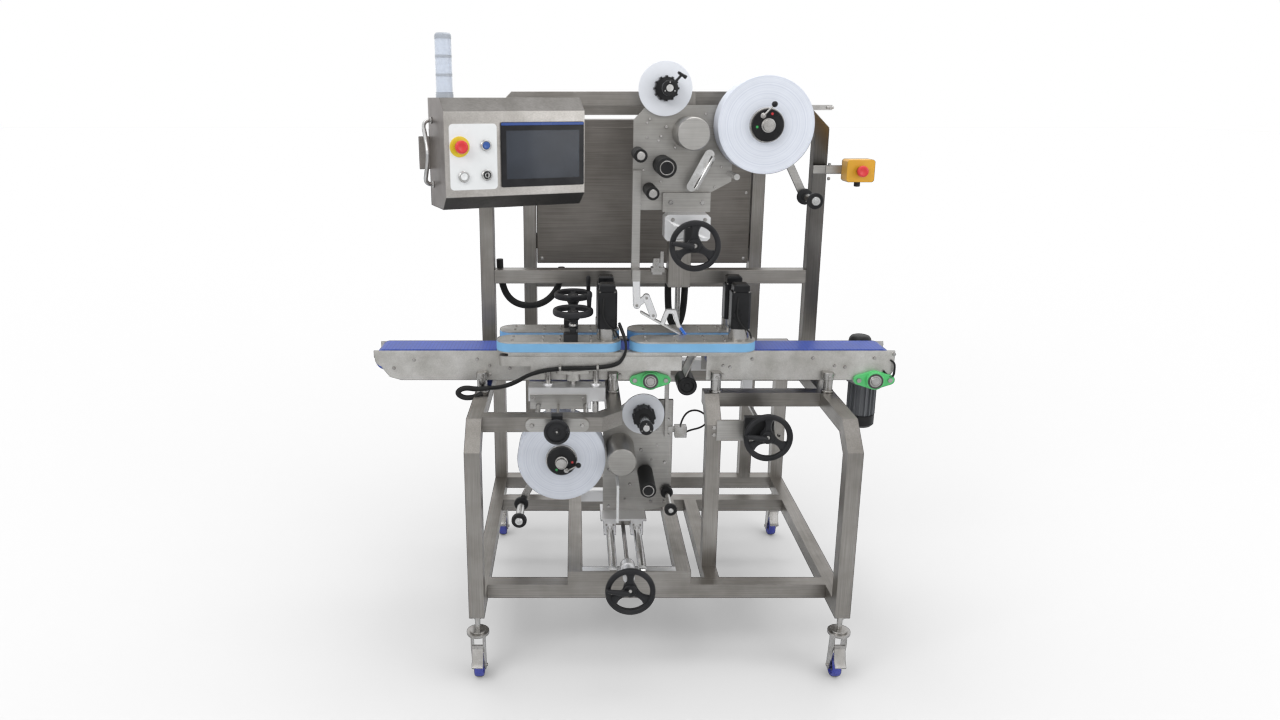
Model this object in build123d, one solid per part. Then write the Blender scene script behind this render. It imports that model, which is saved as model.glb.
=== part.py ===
"""Top-and-bottom labelling machine for bottles and jars, on a stainless tube frame.

Two belt conveyors in line leave a gap between them. Side grip belts carry the bottle over the
gap, where a lower head labels its underside while an upper head labels its top.

Sizes are in millimetres. The working datum is the outer front corner of the left front leg,
on the floor: x runs along the conveyor, y away from the operator and z up. The finished
machine is moved so that its origin lies on the floor under the middle of its whole box.
"""

import os
from math import cos, radians, sin, tan

from build123d import *

# Frame tube and the bench
tube = 50.0
tube_wall = 3.0
sheet_wall = 2.0
frame_width = 1266.0
frame_depth = 1088.0
leg_underside = 245.0
bench_top = 917.0
leg_mitre = 85.0
front_rail_y = 128.0
mid_rail_y = 808.0
cradle_left_x = 327.0
cradle_right_x = 700.0
keel_x = frame_width - 460.0
mid_post_y = 255.0
right_rail_y = 350.0
left_rail_y = 97.0
left_rail_turn_x = 441.0
left_rail_jog = 67.0
half_mitre = tan(radians(22.5))

# Upper frame
upper_y = 650.0
upper_top = 1945.0
upper_mitre = 125.0
cross_rail_z = 1249.0
rear_post_inset = 140.0
rear_cross_z = 1157.0
rear_top_z = 1857.0

# Rear cabinet
cabinet_lower_gap = 50.0
cabinet_upper_gap = 19.0
cabinet_bottom = rear_cross_z + tube + cabinet_lower_gap
cabinet_top = rear_top_z - cabinet_upper_gap
cabinet_depth = 200.0
cabinet_side_gap = 5.0
cover_thickness = 4.0
cover_border = 28.0

# Casters
caster_wheel_r = 37.5
caster_wheel_width = 30.0
caster_trail = 22.0
caster_plate_r = 37.0
caster_plate_z = 176.0
caster_plate_thickness = 8.0
fork_wall = 4.0
axle_r = 5.0
stem_r = 8.0

# Conveyors
bed_y = 380.0
bed_width = 130.0
bed_plate = 4.0
bed_bottom = 955.0
belt_top = 1066.0
bed_lip = 4.0
belt_thickness = 10.0
belt_gap = 2.0
drive_z = 958.0
drive_r = 35.0
shaft_r = 15.0
infeed_start = -363.0
infeed_end = 690.0
outfeed_start = 815.0
outfeed_end = 1468.0
infeed_drive_x = 617.0
outfeed_drive_x = 1407.0
bed_post_r = 17.0
bed_post_top = 990.0
bed_posts_x = (tube / 2, 485.0, keel_x + 42.0, frame_width - tube / 2)
rear_bed_posts_x = (tube / 2, 485.0, frame_width - tube / 2)

# Side grips, given for the front one and mirrored about the bottle path
path_y = 445.0
grip_y = 318.0
grip_depth = 110.0
grip_top = 1109.0
grip_top_plate = 5.0
grip_belt_z = 1073.0
grip_belt_height = 31.0
grip_belt_thickness = 8.0
grip_bottom_plate = 4.0
grip_left = (78.0, 512.0)
grip_right = (542.0, 980.0)
grip_motors_x = (463.0, 922.0)
motor_base_r = 36.0
motor_base_top = 1150.0
motor_side = 66.0
motor_top = 1306.0
beam_ends = (198.0, 722.0)
beam_z = 1004.0
beam_height = 52.0
beam_depth = 42.0
beam_y = 330.0
lift_x = 345.0
lift_y = 346.0
lift_screw_r = 8.0
lift_rods_x = (258.0, 424.0)
lift_rod_r = 10.0
lift_rod_foot = 850.0
lift_wheel_d = 138.0
front_lift_z = 1212.0
rear_lift_z = 1228.0
carriage_ends = (190.0, 457.0)
carriage_y = 300.0
carriage_depth = 104.0
carriage_z = 903.0
carriage_height = 49.0
guide_rods_x = (225.0, 389.0)
guide_rod_z = 888.0
guide_rod_r = 8.0
fit = 0.05

# Handwheels
handwheel_d = 166.0
small_wheel_d = 84.0
small_wheel_y = 30.0
front_slide_x = 294.0
front_slide_z = 892.0
front_slide_screw_r = 4.5
rear_slide_x = frame_width - 262.0
rear_slide_z = 810.0
rear_slide_y = 192.0
rear_slide_screw_r = 7.0

# Lower head slide
slide_x = 533.5
slide_z = 352.0
slide_shaft_r = 14.0
slide_spread = 50.5
slide_screw_r = 6.5
slide_wheel_y = -12.0
slide_ends = (133.0, 820.0)
saddle_length = 30.0
cross_plate = 5.0

# Labelling heads
head_plate_y = 507.0
head_plate = 12.0
head_back = head_plate_y + head_plate
pin_r = 8.0
gearbox_y = 400.0
reel_front_y = 388.0
reel_back_y = 490.0
reel_r = 160.0
reel_core_r = 38.0
hub_cap_r = 53.0
hub_cap_front_y = 353.0
spindle_r = 10.0
spindle_head_r = 20.0
roller_front_y = 330.0
roller_gap = 3.0
mandrel_front_y = 325.0
mandrel_hub_r = 42.0
mandrel_r = 20.0
mandrel_knob_r = 25.0
rewind_disc_y = 478.0

# Lower head places, as x and z
lower_plate_x = (458.0, 716.0)
lower_plate_z = (393.0, 837.0)
lower_unwind = (303.0, 652.0)
lower_rewind = (604.0, 792.0)
lower_rewind_r = 78.0
lower_motor = (520.0, 656.0)
lower_motor_r = 52.0
lower_drive = (616.0, 552.0)
lower_drive_r = 29.0
lower_idler = (699.0, 474.0)
idler_flange_r = 23.0
idler_core_r = 9.0
lower_dancer_pivot = (235.0, 600.0)
lower_dancer = (148.0, 431.0)
dancer_flange_r = 27.0
dancer_core_r = 14.0
dancer_arm_section = (26.0, 8.0)
dancer_y = 496.0
dancer_back = dancer_y - 0.5
lower_peel = ((743.0, 962.0), (780.0, 1046.0))
lower_peel_roller = (752.0, 926.0)
lower_peel_roller_r = 34.0

# Upper head places, as x and z
upper_plate_x = (553.0, 897.0)
upper_plate_z = (1541.0, 1899.0)
upper_unwind = (985.0, 1835.0)
upper_rewind = (657.0, 1953.0)
upper_rewind_r = 91.0
upper_motor = (740.0, 1808.0)
upper_motor_r = 54.0
upper_drive = (654.0, 1699.0)
upper_drive_r = 33.0
upper_idlers = ((568.0, 1738.0), (610.0, 1615.0))
knurled_r = 22.0
upper_dancer_pivot = (1048.0, 1790.0)
upper_dancer = (1151.0, 1590.0)
applicator_x = 566.0
upper_wheel = (737.0, 1462.0)
upper_wheel_y = 200.0
elbow = (570.0, 1214.0)
shoulder = (604.0, 1240.0)
wrist = (629.0, 1176.0)
hook = ((664.0, 1150.0), (679.0, 1190.0), (704.0, 1189.0), (719.0, 1138.0))
wiper = ((724.0, 1134.0), (749.0, 1101.0))
upper_peel = ((586.0, 1189.0), (750.0, 1096.0))
sensor_bar_low = (765.0, 1621.0)
sensor_bar_high = (822.0, 1728.0)
sensor_bar_r = 8.5
sensor_y = 440.0
sensor_offset = 26.0
upper_stud = (888.0, 1668.0)
peel_width = 32.0
lower_web = 100.0

# Upper guide column
column_x = 733.0
column_width = 80.0
column_depth = 75.0
saddle_low = 1600.0
saddle_height = 200.0

# Control box: its frame stands at the middle of the front face
panel_place = (170.0, 192.0, 1754.0)
panel_yaw = 22.5
panel_width = 460.0
panel_face = 258.0
panel_slope = 40.0
panel_depth = 190.0
handle_back = 150.0
handle_front = 85.0
handle_reach = 30.0
handle_span = 100.0
handle_r = 6.0
wing_width = 34.0
wing_low = -53.0
wing_height = 102.0
swivel_reach = 50.0
swivel_r = 10.0
arm_side = 40.0
screen_low = (-52.0, -103.0)
screen_size = (278.0, 199.0)
plate_low = (-215.0, -107.0)
plate_size = (151.0, 199.0)
stop_place = (-183.0, 24.0)
start_place = (-101.0, 27.0)
reset_place = (-173.0, -66.0)
key_place = (-100.0, -63.0)
button_r = 11.0
button_ring_r = 17.0
ring_height = 9.0
stop_ring_r = 16.0
stop_head_r = 20.0
stop_stem_r = 8.0
stop_travel = 4.0
beacon_place = (-200.0, 90.0)
beacon_r = 27.0
beacon_base = 16.0
beacon_segment = 55.0

# Side emergency stop
side_stop_box = (frame_width + 52.0, 572.0, 1632.0)
side_stop_size = (98.0, 70.0, 78.0)


def bar(x, y, z, dx, dy, dz):
    """A box from its low corner."""
    return Pos(x, y, z) * Box(dx, dy, dz, align=(Align.MIN, Align.MIN, Align.MIN))


def rod(start, way, radius, length):
    """A cylinder from a start point along a direction."""
    seat = Plane(origin=start, z_dir=way)
    return seat * Cylinder(radius, length, align=(Align.CENTER, Align.CENTER, Align.MIN))


def ring(start, way, outer, inner, length):
    """A tube from a start point along a direction."""
    return rod(start, way, outer, length) - rod(start, way, inner, length)


def across(points, x, width):
    """A profile of (y, z) points, extruded along x."""
    outline = Polyline(*[(x, y, z) for y, z in points], close=True)
    return extrude(make_face(outline), amount=width, dir=(1, 0, 0))


def upright(points, y, thickness):
    """A plate outline of (x, z) points, extruded along y."""
    outline = Polyline(*[(x, y, z) for x, z in points], close=True)
    return extrude(make_face(outline), amount=thickness, dir=(0, 1, 0))


def level(points, z, thickness):
    """A plate outline of (x, y) points, extruded upwards."""
    outline = Polyline(*[(x, y, z) for x, y in points], close=True)
    return extrude(make_face(outline), amount=thickness, dir=(0, 0, 1))


def stadium(x0, x1, y0, y1, z, height):
    """A plate with round ends, as wide as y0 to y1."""
    centre = Pos((x0 + x1) / 2, (y0 + y1) / 2, z)
    return centre * extrude(SlotOverall(x1 - x0, y1 - y0), amount=height)


def walled(shape, wall):
    """A closed hollow piece, with the same wall all round."""
    return single(shape - offset(shape, amount=-wall))


def single(shape):
    """The one solid of a shape."""
    return shape.solids()[0]


# Bench frame


def bent_leg(x, face, foot, reach):
    """A post with a mitred 45 degree corner and an arm that runs back to reach."""
    knee = bench_top - leg_mitre
    bend = tube * half_mitre
    post = [(face, foot), (face, knee), (face + tube, knee - bend), (face + tube, foot)]
    slope = [
        (face, knee),
        (face + leg_mitre, bench_top),
        (face + leg_mitre + bend, bench_top - tube),
        (face + tube, knee - bend),
    ]
    arm = [
        (face + leg_mitre, bench_top),
        (reach, bench_top),
        (reach, bench_top - tube),
        (face + leg_mitre + bend, bench_top - tube),
    ]
    return [walled(across(outline, x, tube), tube_wall) for outline in (post, slope, arm)]


def left_top_rail():
    """The front rail of the left bay, which turns back at 45 degrees and runs to the rear."""
    low, bend = bench_top - tube, tube * half_mitre
    front, back = left_rail_y, left_rail_y + tube
    turn, jog = left_rail_turn_x, left_rail_jog
    front_run = [(tube, front), (turn, front), (turn - bend, back), (tube, back)]
    screw = rod((front_slide_x, front - 1, front_slide_z), (0, 1, 0), front_slide_screw_r + 1, tube + 2)
    corner = [
        (turn, front),
        (turn + jog, front + jog),
        (turn + jog - tube, front + jog + bend),
        (turn - bend, back),
    ]
    rear_run = [
        (turn + jog, front + jog),
        (turn + jog, upper_y),
        (turn + jog - tube, upper_y),
        (turn + jog - tube, front + jog + bend),
    ]
    runs = [walled(level(outline, low, tube), tube_wall) for outline in (front_run, corner, rear_run)]
    runs[0] -= screw
    return runs


def square_tube(x, y, z, dx, dy, dz):
    return walled(bar(x, y, z, dx, dy, dz), tube_wall)


def lower_frame():
    base, right = leg_underside, frame_width - tube
    rear = frame_depth - tube
    inner = frame_width - 2 * tube
    pieces = []
    for x in (0, right):
        pieces += bent_leg(x, 0, base, rear)
        pieces.append(square_tube(x, rear, base, tube, tube, bench_top - base))
        pieces.append(square_tube(x, tube, base, tube, rear - tube, tube))
    for y in (front_rail_y, mid_rail_y, rear):
        pieces.append(square_tube(tube, y, base, inner, tube, tube))
    for x in (cradle_left_x, cradle_right_x):
        start = front_rail_y + cross_plate
        pieces.append(square_tube(x, start, base + tube, tube, mid_rail_y + tube - start, tube))
    width = cradle_right_x + tube - cradle_left_x
    pieces.append(bar(cradle_left_x, front_rail_y, base + tube, width, cross_plate, tube))
    keel_run = mid_rail_y - front_rail_y - tube
    pieces.append(square_tube(keel_x, front_rail_y + tube, base, tube, keel_run, tube))
    pieces += bent_leg(keel_x, mid_post_y, base + tube, right_rail_y + tube)
    pieces += left_top_rail()
    low = bench_top - tube
    pieces.append(square_tube(keel_x + tube, right_rail_y, low, right - keel_x - tube, tube, tube))
    pieces.append(square_tube(tube, upper_y, low, inner, tube, tube))
    rear_spans = (
        (tube, rear_post_inset),
        (rear_post_inset + tube, frame_width - rear_post_inset - tube),
        (frame_width - rear_post_inset, right),
    )
    pieces += [square_tube(a, rear, low, b - a, tube, tube) for a, b in rear_spans]
    return pieces


def upper_frame():
    right = frame_width
    knee, bend = upper_top - upper_mitre, tube * half_mitre
    foot = bench_top
    post = [(0, foot), (0, knee), (tube, knee - bend), (tube, foot)]
    slope = [
        (0, knee),
        (upper_mitre, upper_top),
        (upper_mitre + bend, upper_top - tube),
        (tube, knee - bend),
    ]
    top = [
        (upper_mitre, upper_top),
        (right - upper_mitre, upper_top),
        (right - upper_mitre - bend, upper_top - tube),
        (upper_mitre + bend, upper_top - tube),
    ]
    pieces = [walled(upright(top, upper_y, tube), tube_wall)]
    for outline in (post, slope):
        flipped = [(right - x, z) for x, z in reversed(outline)]
        pieces += [walled(upright(side, upper_y, tube), tube_wall) for side in (outline, flipped)]
    inner = right - 2 * tube
    pieces.append(square_tube(tube, upper_y, cross_rail_z, inner, tube, tube))
    rear = frame_depth - tube
    inset = rear_post_inset
    for x in (inset, right - inset - tube):
        foot = leg_underside + tube
        pieces.append(square_tube(x, rear, foot, tube, tube, rear_top_z - foot))
        pieces.append(square_tube(x, upper_y + tube, rear_top_z, tube, rear - upper_y - tube, tube))
    for z, start, run in (
        (rear_cross_z, inset + tube, right - 2 * inset - 2 * tube),
        (rear_top_z, inset, right - 2 * inset),
    ):
        pieces.append(square_tube(start, rear, z, run, tube, tube))
    return pieces + control_arm()


def panel_spot(x, y, z=0.0):
    """A place given in the control box's own frame."""
    turn = radians(panel_yaw)
    cx, cy, cz = panel_place
    return (cx + x * cos(turn) - y * sin(turn), cy + x * sin(turn) + y * cos(turn), cz + z)


def swivel_local_x():
    """Sideways place of the swivel pin, straight in front of the left post."""
    turn = radians(panel_yaw)
    back = panel_depth + swivel_reach
    return (tube / 2 - panel_place[0] + back * sin(turn)) / cos(turn)


def swivel_spot():
    return panel_spot(swivel_local_x(), panel_depth + swivel_reach)


def control_arm():
    """A square arm from the left post, with the bore that the control box swivels in."""
    x, y, z = swivel_spot()
    low = z - arm_side / 2
    start = y - arm_side / 2
    arm = bar(x - arm_side / 2, start, low, arm_side, upper_y - start, arm_side)
    return [arm - rod((x, y, low), (0, 0, 1), swivel_r + fit, arm_side)]


def rear_cabinet():
    """Electrical cabinet between the rear posts, with a front cover and a door behind."""
    x0 = rear_post_inset + tube + cabinet_side_gap
    width = frame_width - 2 * x0
    front = frame_depth - tube + cover_thickness
    height = cabinet_top - cabinet_bottom
    shell = walled(bar(x0, front, cabinet_bottom, width, cabinet_depth, height), sheet_wall)
    cover = bar(
        x0 + 2,
        front - cover_thickness,
        cabinet_bottom + 5,
        width - 4,
        cover_thickness,
        height - cover_border - 5,
    )
    back = front + cabinet_depth
    door = walled(bar(x0 + 8, back, cabinet_bottom + 8, width - 16, 12, height - 16), sheet_wall)
    ears = [bar(x, front + 10, cabinet_bottom + 60, cabinet_side_gap, 34, 60) for x in
            (x0 - cabinet_side_gap, x0 + width)]
    ears += [bar(x, front + 10, cabinet_top - 120, cabinet_side_gap, 34, 60) for x in
             (x0 - cabinet_side_gap, x0 + width)]
    locks = [rod((x0 + 60, back + 12, z), (0, 1, 0), 14, 10) for z in
             (cabinet_bottom + 120, cabinet_top - 120)]
    return [shell, cover, door] + ears + locks


# Casters


def caster_corners():
    near, far = tube / 2, frame_depth - tube / 2
    right = frame_width - tube / 2
    return {"fl": (tube / 2, near), "fr": (right, near), "rl": (tube / 2, far), "rr": (right, far)}


def caster_stems():
    """Threaded stems with a nut under each leg and a bearing plate on the swivel head."""
    top_plate = caster_plate_z + caster_plate_thickness + 0.3
    pieces = []
    for x, y in caster_corners().values():
        pieces.append(rod((x, y, top_plate + 6), (0, 0, 1), stem_r, leg_underside - top_plate - 6))
        pieces.append(rod((x, y, top_plate), (0, 0, 1), caster_plate_r - 9, 6))
        nut = Pos(x, y, leg_underside - 14) * extrude(RegularPolygon(14, 6), amount=10)
        pieces.append(nut - rod((x, y, leg_underside - 14), (0, 0, 1), stem_r, 10))
    return pieces


def caster_fork(x, y):
    """Swivel head, two cheeks, the axle and the brake pedal over the wheel."""
    plate = rod((x, y, caster_plate_z), (0, 0, 1), caster_plate_r, caster_plate_thickness)
    half = caster_wheel_width / 2 + 3
    rear = y + caster_trail
    neck = bar(x - half - fork_wall, y - 22, caster_plate_z - 40, 2 * (half + fork_wall), 44, 40)
    neck -= bar(x - half, y - 22, caster_plate_z - 40, 2 * half, 44, 34)
    cheek = [
        (y - 22, caster_plate_z - 40),
        (y + 22, caster_plate_z - 40),
        (rear + 14, caster_wheel_r),
        (rear + 7, caster_wheel_r - 13),
        (rear - 7, caster_wheel_r - 13),
        (rear - 14, caster_wheel_r),
    ]
    cheeks = [across(cheek, side, fork_wall) for side in (x - half - fork_wall, x + half)]
    axle = rod((x - half - fork_wall - 5, rear, caster_wheel_r), (1, 0, 0), axle_r, 2 * half + 18)
    pedal = [
        (y - 26, caster_plate_z - 48),
        (y - 20, caster_plate_z - 42),
        (y - 30, caster_wheel_r + 48),
        (y - 48, caster_wheel_r + 32),
        (y - 51, caster_wheel_r + 37),
        (y - 37, caster_wheel_r + 52),
    ]
    brake = across(pedal, x - half, 2 * half)
    body = plate + neck
    for piece in cheeks + [axle]:
        body += piece
    link = bar(x - half, y - 26, caster_plate_z - 47, 2 * half, 6, 13)
    return [single(body), brake + link]


def caster_wheel(x, y):
    """A tyre with rounded shoulders on a hub with a running bore."""
    centre = (x - caster_wheel_width / 2, y + caster_trail, caster_wheel_r)
    tyre = chamfer(rod(centre, (1, 0, 0), caster_wheel_r, caster_wheel_width).edges(), 3)
    boss = rod((centre[0] - 2.5, centre[1], centre[2]), (1, 0, 0), 12, caster_wheel_width + 5)
    bore = rod((centre[0] - 3, centre[1], centre[2]), (1, 0, 0), axle_r + fit, caster_wheel_width + 6)
    return [single(tyre + boss - bore)]


# Conveyors


def bed_spans():
    return {"infeed": (infeed_start, infeed_end), "outfeed": (outfeed_start, outfeed_end)}


def bed_outline(name):
    """Side plate outline: the free end is cut back below the nose."""
    start, end = bed_spans()[name]
    top, low = belt_top - bed_lip, bed_bottom
    if name == "infeed":
        return [
            (start + 8, top),
            (end, top),
            (end, low),
            (start + 100, low),
            (start + 60, low + 12),
            (start + 14, low + 72),
            (start + 8, low + 84),
        ]
    return [
        (start, top),
        (end + 8, top),
        (end + 8, low + 34),
        (end - 4, low + 16),
        (end - 20, low),
        (start, low),
    ]


def belt_loop_height():
    return belt_top - (drive_z + drive_r + 0.3)


def conveyor_bed(name):
    """Two side plates with spacers, wear strips under the belt and a nose bar at each end."""
    start, end = bed_spans()[name]
    drive = infeed_drive_x if name == "infeed" else outfeed_drive_x
    outline = bed_outline(name)
    inner = bed_width - 2 * bed_plate
    bores = rod((drive, bed_y - 1, drive_z), (0, 1, 0), shaft_r + 2, bed_width + 2)
    plates = [
        upright(outline, y, bed_plate) - bores for y in (bed_y, bed_y + bed_width - bed_plate)
    ]
    nose = belt_loop_height() / 2
    centre = belt_top - nose
    noses = [
        rod((x, bed_y + bed_plate, centre), (0, 1, 0), nose - belt_thickness, inner)
        for x in (start + nose, end - nose)
    ]
    strips = [
        bar(start + nose, y, belt_top - belt_thickness - 8, end - start - 2 * nose, 20, 8)
        for y in (bed_y + 25, bed_y + bed_width - 45)
    ]
    count = max(2, round((end - start) / 300))
    pitch = (end - start - 160) / (count - 1)
    spacers = [
        rod((start + 80 + i * pitch, bed_y + bed_plate, centre + 8), (0, 1, 0), 9, inner)
        for i in range(count)
    ]
    return plates + noses + strips + spacers


def conveyor_belt(name):
    """A closed belt loop with round ends."""
    start, end = bed_spans()[name]
    height = belt_loop_height()
    width = bed_width - 2 * bed_plate - 2 * belt_gap
    middle = Plane(
        origin=((start + end) / 2, bed_y + bed_plate + belt_gap, belt_top - height / 2),
        x_dir=(1, 0, 0),
        z_dir=(0, 1, 0),
    )
    outer = SlotOverall(end - start, height)
    inner = SlotOverall(end - start - 2 * belt_thickness, height - 2 * belt_thickness)
    return [middle * extrude(outer - inner, amount=width)]


def bed_posts():
    """Round posts on the bench rails, bolted to the front plates through a collar."""
    front = bed_y - bed_post_r
    rear = bed_y + bed_width + bed_post_r
    places = [(x, front) for x in bed_posts_x]
    places += [(x, rear) for x in rear_bed_posts_x]
    pieces = []
    for x, y in places:
        pieces.append(rod((x, y, bench_top), (0, 0, 1), bed_post_r, bed_post_top - bench_top))
    return pieces


def flange_bearing(x, y, way):
    """Two-bolt flange bearing, its flange on y and its nose along way."""
    seat = Plane(origin=(x, y, drive_z), x_dir=(1, 0, 0), z_dir=(0, way, 0))
    lugs = [Pos(side * 55, 0) * Circle(17) for side in (-1, 1)]
    flange = make_hull((Circle(34) + lugs[0] + lugs[1]).edges())
    holes = Circle(shaft_r + fit)
    body = extrude(flange, amount=12) + extrude(Circle(31), amount=26)
    body -= extrude(holes, amount=26)
    bolts = [Pos(side * 55, 0, 12) * extrude(RegularPolygon(9, 6), amount=7) for side in (-1, 1)]
    return [seat * single(body)] + [seat * bolt for bolt in bolts]


def bed_bearings():
    pieces = []
    for x in (infeed_drive_x, outfeed_drive_x):
        pieces += flange_bearing(x, bed_y, -1)
    return pieces + flange_bearing(infeed_drive_x, bed_y + bed_width, 1)


def drive_roller(x, rear):
    """Drive roller with toothed drums on one shaft."""
    shaft = rod((x, bed_y - 32, drive_z), (0, 1, 0), shaft_r, rear - bed_y + 32)
    drum = rod((x, bed_y + bed_plate + 3, drive_z), (0, 1, 0), drive_r, bed_width - 2 * bed_plate - 6)
    return [single(shaft + drum)]


def gearmotor():
    """Worm gear unit on the outfeed shaft, with a finned motor hanging beside the shaft."""
    x, y0, side = outfeed_drive_x, bed_y + bed_width, 90.0
    motor_x, centre_y = x + 22, y0 + side / 2
    low, high = drive_z - 53, drive_z + 52
    unit = bar(x - 45, y0, low, 115, side, high - low)
    unit = chamfer(unit.edges().filter_by(Axis.Z), 12)
    unit -= rod((x, y0 - 1, drive_z), (0, 1, 0), shaft_r + fit, side + 2)
    cap = chamfer(rod((x, centre_y, high), (0, 0, 1), 40, 26).edges().group_by(Axis.Z)[-1], 9)
    flange = rod((motor_x, centre_y, low - 12), (0, 0, 1), 50, 12)
    foot = low - 12 - 123
    core = rod((motor_x, centre_y, foot), (0, 0, 1), 42, 123)
    for i in range(16):
        fin = Pos(motor_x, centre_y, foot) * Rot(0, 0, i * 22.5)
        core += fin * Pos(41, -1.5, 4) * Box(10, 3, 115, align=(Align.MIN,) * 3)
    fan = chamfer(rod((motor_x, centre_y, foot - 45), (0, 0, 1), 50, 45).edges().group_by(Axis.Z)[0], 9)
    box = bar(motor_x - 30, centre_y + 36, foot + 30, 60, 34, 70)
    core -= box
    return [unit, cap, flange, single(core), fan, box]


# Handwheels, in a frame whose z axis points at the operator


def handwheel(diameter, shaft, screw_r, upright_handle, spokes=3):
    """Rim, spokes, hub and shaft as one solid, with its crank handle."""
    r = diameter / 2
    w = diameter * 0.055
    inner, outer = r - 1.5 * w, r - 0.4 * w
    section = [(r - 2 * w, 0), (inner, w), (outer, w), (r, 0), (outer, -w), (inner, -w)]
    outline = Polyline(*[(x, 0, z) for x, z in section], close=True)
    wheel = revolve(make_face(outline), Axis.Z)
    hub_r = diameter * 0.13
    drop = diameter * 0.12
    wheel += rod((0, 0, -drop - 12), (0, 0, 1), hub_r, drop + 16)
    for i in range(spokes):
        arm = Pos(hub_r * 0.6, -w, -w) * Box(r - w - hub_r * 0.6, 2 * w, 1.4 * w, align=(Align.MIN,) * 3)
        wheel += Rot(0, 0, 90 + i * 360 / spokes) * arm
    wheel += rod((0, 0, -drop - 12 - shaft), (0, 0, 1), screw_r, shaft)
    grip_r = diameter * 0.055 + 1
    if upright_handle:
        grip = rod((r - w, 0, w - 1), (0, 0, 1), grip_r, diameter * 0.42)
        return [single(wheel), Rot(0, 0, 25) * grip]
    grip = rod((-r + w, 0, w + grip_r - 1), (1, 0, 0), grip_r, diameter * 0.42)
    return [single(wheel), Rot(0, 0, -8) * grip]


def facing_front(x, y, z):
    return Plane(origin=(x, y, z), x_dir=(1, 0, 0), z_dir=(0, -1, 0))


def placed(frame, shapes):
    return [frame * shape for shape in shapes]


def lower_handwheel():
    d = handwheel_d
    run = slide_ends[1] - slide_wheel_y - d * 0.12 - 12
    return placed(facing_front(slide_x, slide_wheel_y, slide_z), handwheel(d, run, slide_screw_r, False))


def upper_handwheel():
    d = handwheel_d
    run = gearbox_y + 25 - upper_wheel_y - d * 0.12 - 12
    x, z = upper_wheel
    return placed(facing_front(x, upper_wheel_y, z), handwheel(d, run, 8.0, False))


def front_slide_wheel():
    d = small_wheel_d
    run = carriage_y + 60 - small_wheel_y - d * 0.12 - 12
    seat = facing_front(front_slide_x, small_wheel_y, front_slide_z)
    return placed(seat, handwheel(d, run, front_slide_screw_r, True, 4))


def rear_slide_wheel():
    d = handwheel_d
    run = 695 - rear_slide_y - d * 0.12 - 12
    seat = facing_front(rear_slide_x, rear_slide_y, rear_slide_z)
    return placed(seat, handwheel(d, run, rear_slide_screw_r, False))


def lift_wheel(y, z):
    d = lift_wheel_d
    run = z - d * 0.12 - 12 - lift_rod_foot
    return placed(Pos(lift_x, y, z), handwheel(d, run, lift_screw_r, True))


# Slides and adjusters on the frame


def guide_rods():
    """Two rods for the side grip carriages and two shafts for the lower head."""
    start = left_rail_y + tube
    pieces = [rod((x, start, guide_rod_z), (0, 1, 0), guide_rod_r, upper_y - start) for x in guide_rods_x]
    low, high = slide_ends
    for side in (-1, 1):
        x = slide_x + side * slide_spread
        pieces.append(rod((x, low, slide_z), (0, 1, 0), slide_shaft_r, high - low))
    return pieces


def slide_saddles():
    """End saddles under the lower shafts, with the front bearing of the screw."""
    inner_low, inner_high = cradle_left_x + tube, cradle_right_x
    low = leg_underside + tube
    pieces = []
    for y in (slide_ends[0], slide_ends[1] - saddle_length):
        block = bar(inner_low, y, low, inner_high - inner_low, saddle_length, tube)
        for side in (-1, 1):
            block -= rod((slide_x + side * slide_spread, y, slide_z), (0, 1, 0), slide_shaft_r, saddle_length)
        housing = bar(slide_x - 24, y, low + tube, 48, saddle_length, slide_z - low - tube)
        housing += rod((slide_x, y, slide_z), (0, 1, 0), 24, saddle_length)
        housing -= bar(slide_x - 24, y, low, 48, saddle_length, tube)
        bore = rod((slide_x, y - 1, slide_z), (0, 1, 0), slide_screw_r + fit, saddle_length + 2)
        pieces += [block - bore, single(housing - bore)]
    nose = ring((slide_x, slide_ends[0] - 60, slide_z), (0, 1, 0), 20, slide_screw_r + fit, 60)
    nose -= bar(slide_x - 30, front_rail_y, low, 60, cross_plate, tube)
    return pieces + [nose]


def adjuster_blocks():
    """Bearing plates and position counters of the two carriage screws."""
    x, z = front_slide_x, front_slide_z
    plate = bar(x - 103, left_rail_y - 8, z - 22, 206, 8, 45)
    plate = fillet(plate.edges().filter_by(Axis.Y), 21)
    counter = bar(x - 18, left_rail_y - 37, z - 20, 36, 29, 63)
    front_bore = rod((x, left_rail_y - 38, z), (0, 1, 0), front_slide_screw_r + fit, 38)
    x, z = rear_slide_x, rear_slide_z
    bracket = bar(keel_x + 33, mid_post_y - 5, z - 33, 201, 5, 74)
    housing = bar(x - 74, mid_post_y - 30, z - 20, 100, 25, 80)
    rear_bore = rod((x, mid_post_y - 31, z), (0, 1, 0), rear_slide_screw_r + fit, 32)
    return [plate - front_bore, counter - front_bore, bracket - rear_bore, housing - rear_bore]


# Side grips. Each function makes the front one; the rear one is its mirror image


def mirrored(shapes):
    plane = Plane(origin=(0, path_y, 0), z_dir=(0, 1, 0))
    return [mirror(shape, about=plane) for shape in shapes]


def drilled(shapes, x, y, radius):
    """Shapes with one upright bore through all of them."""
    drill = rod((x, y, 800), (0, 0, 1), radius, 400)
    return [shape - drill for shape in shapes]


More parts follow.
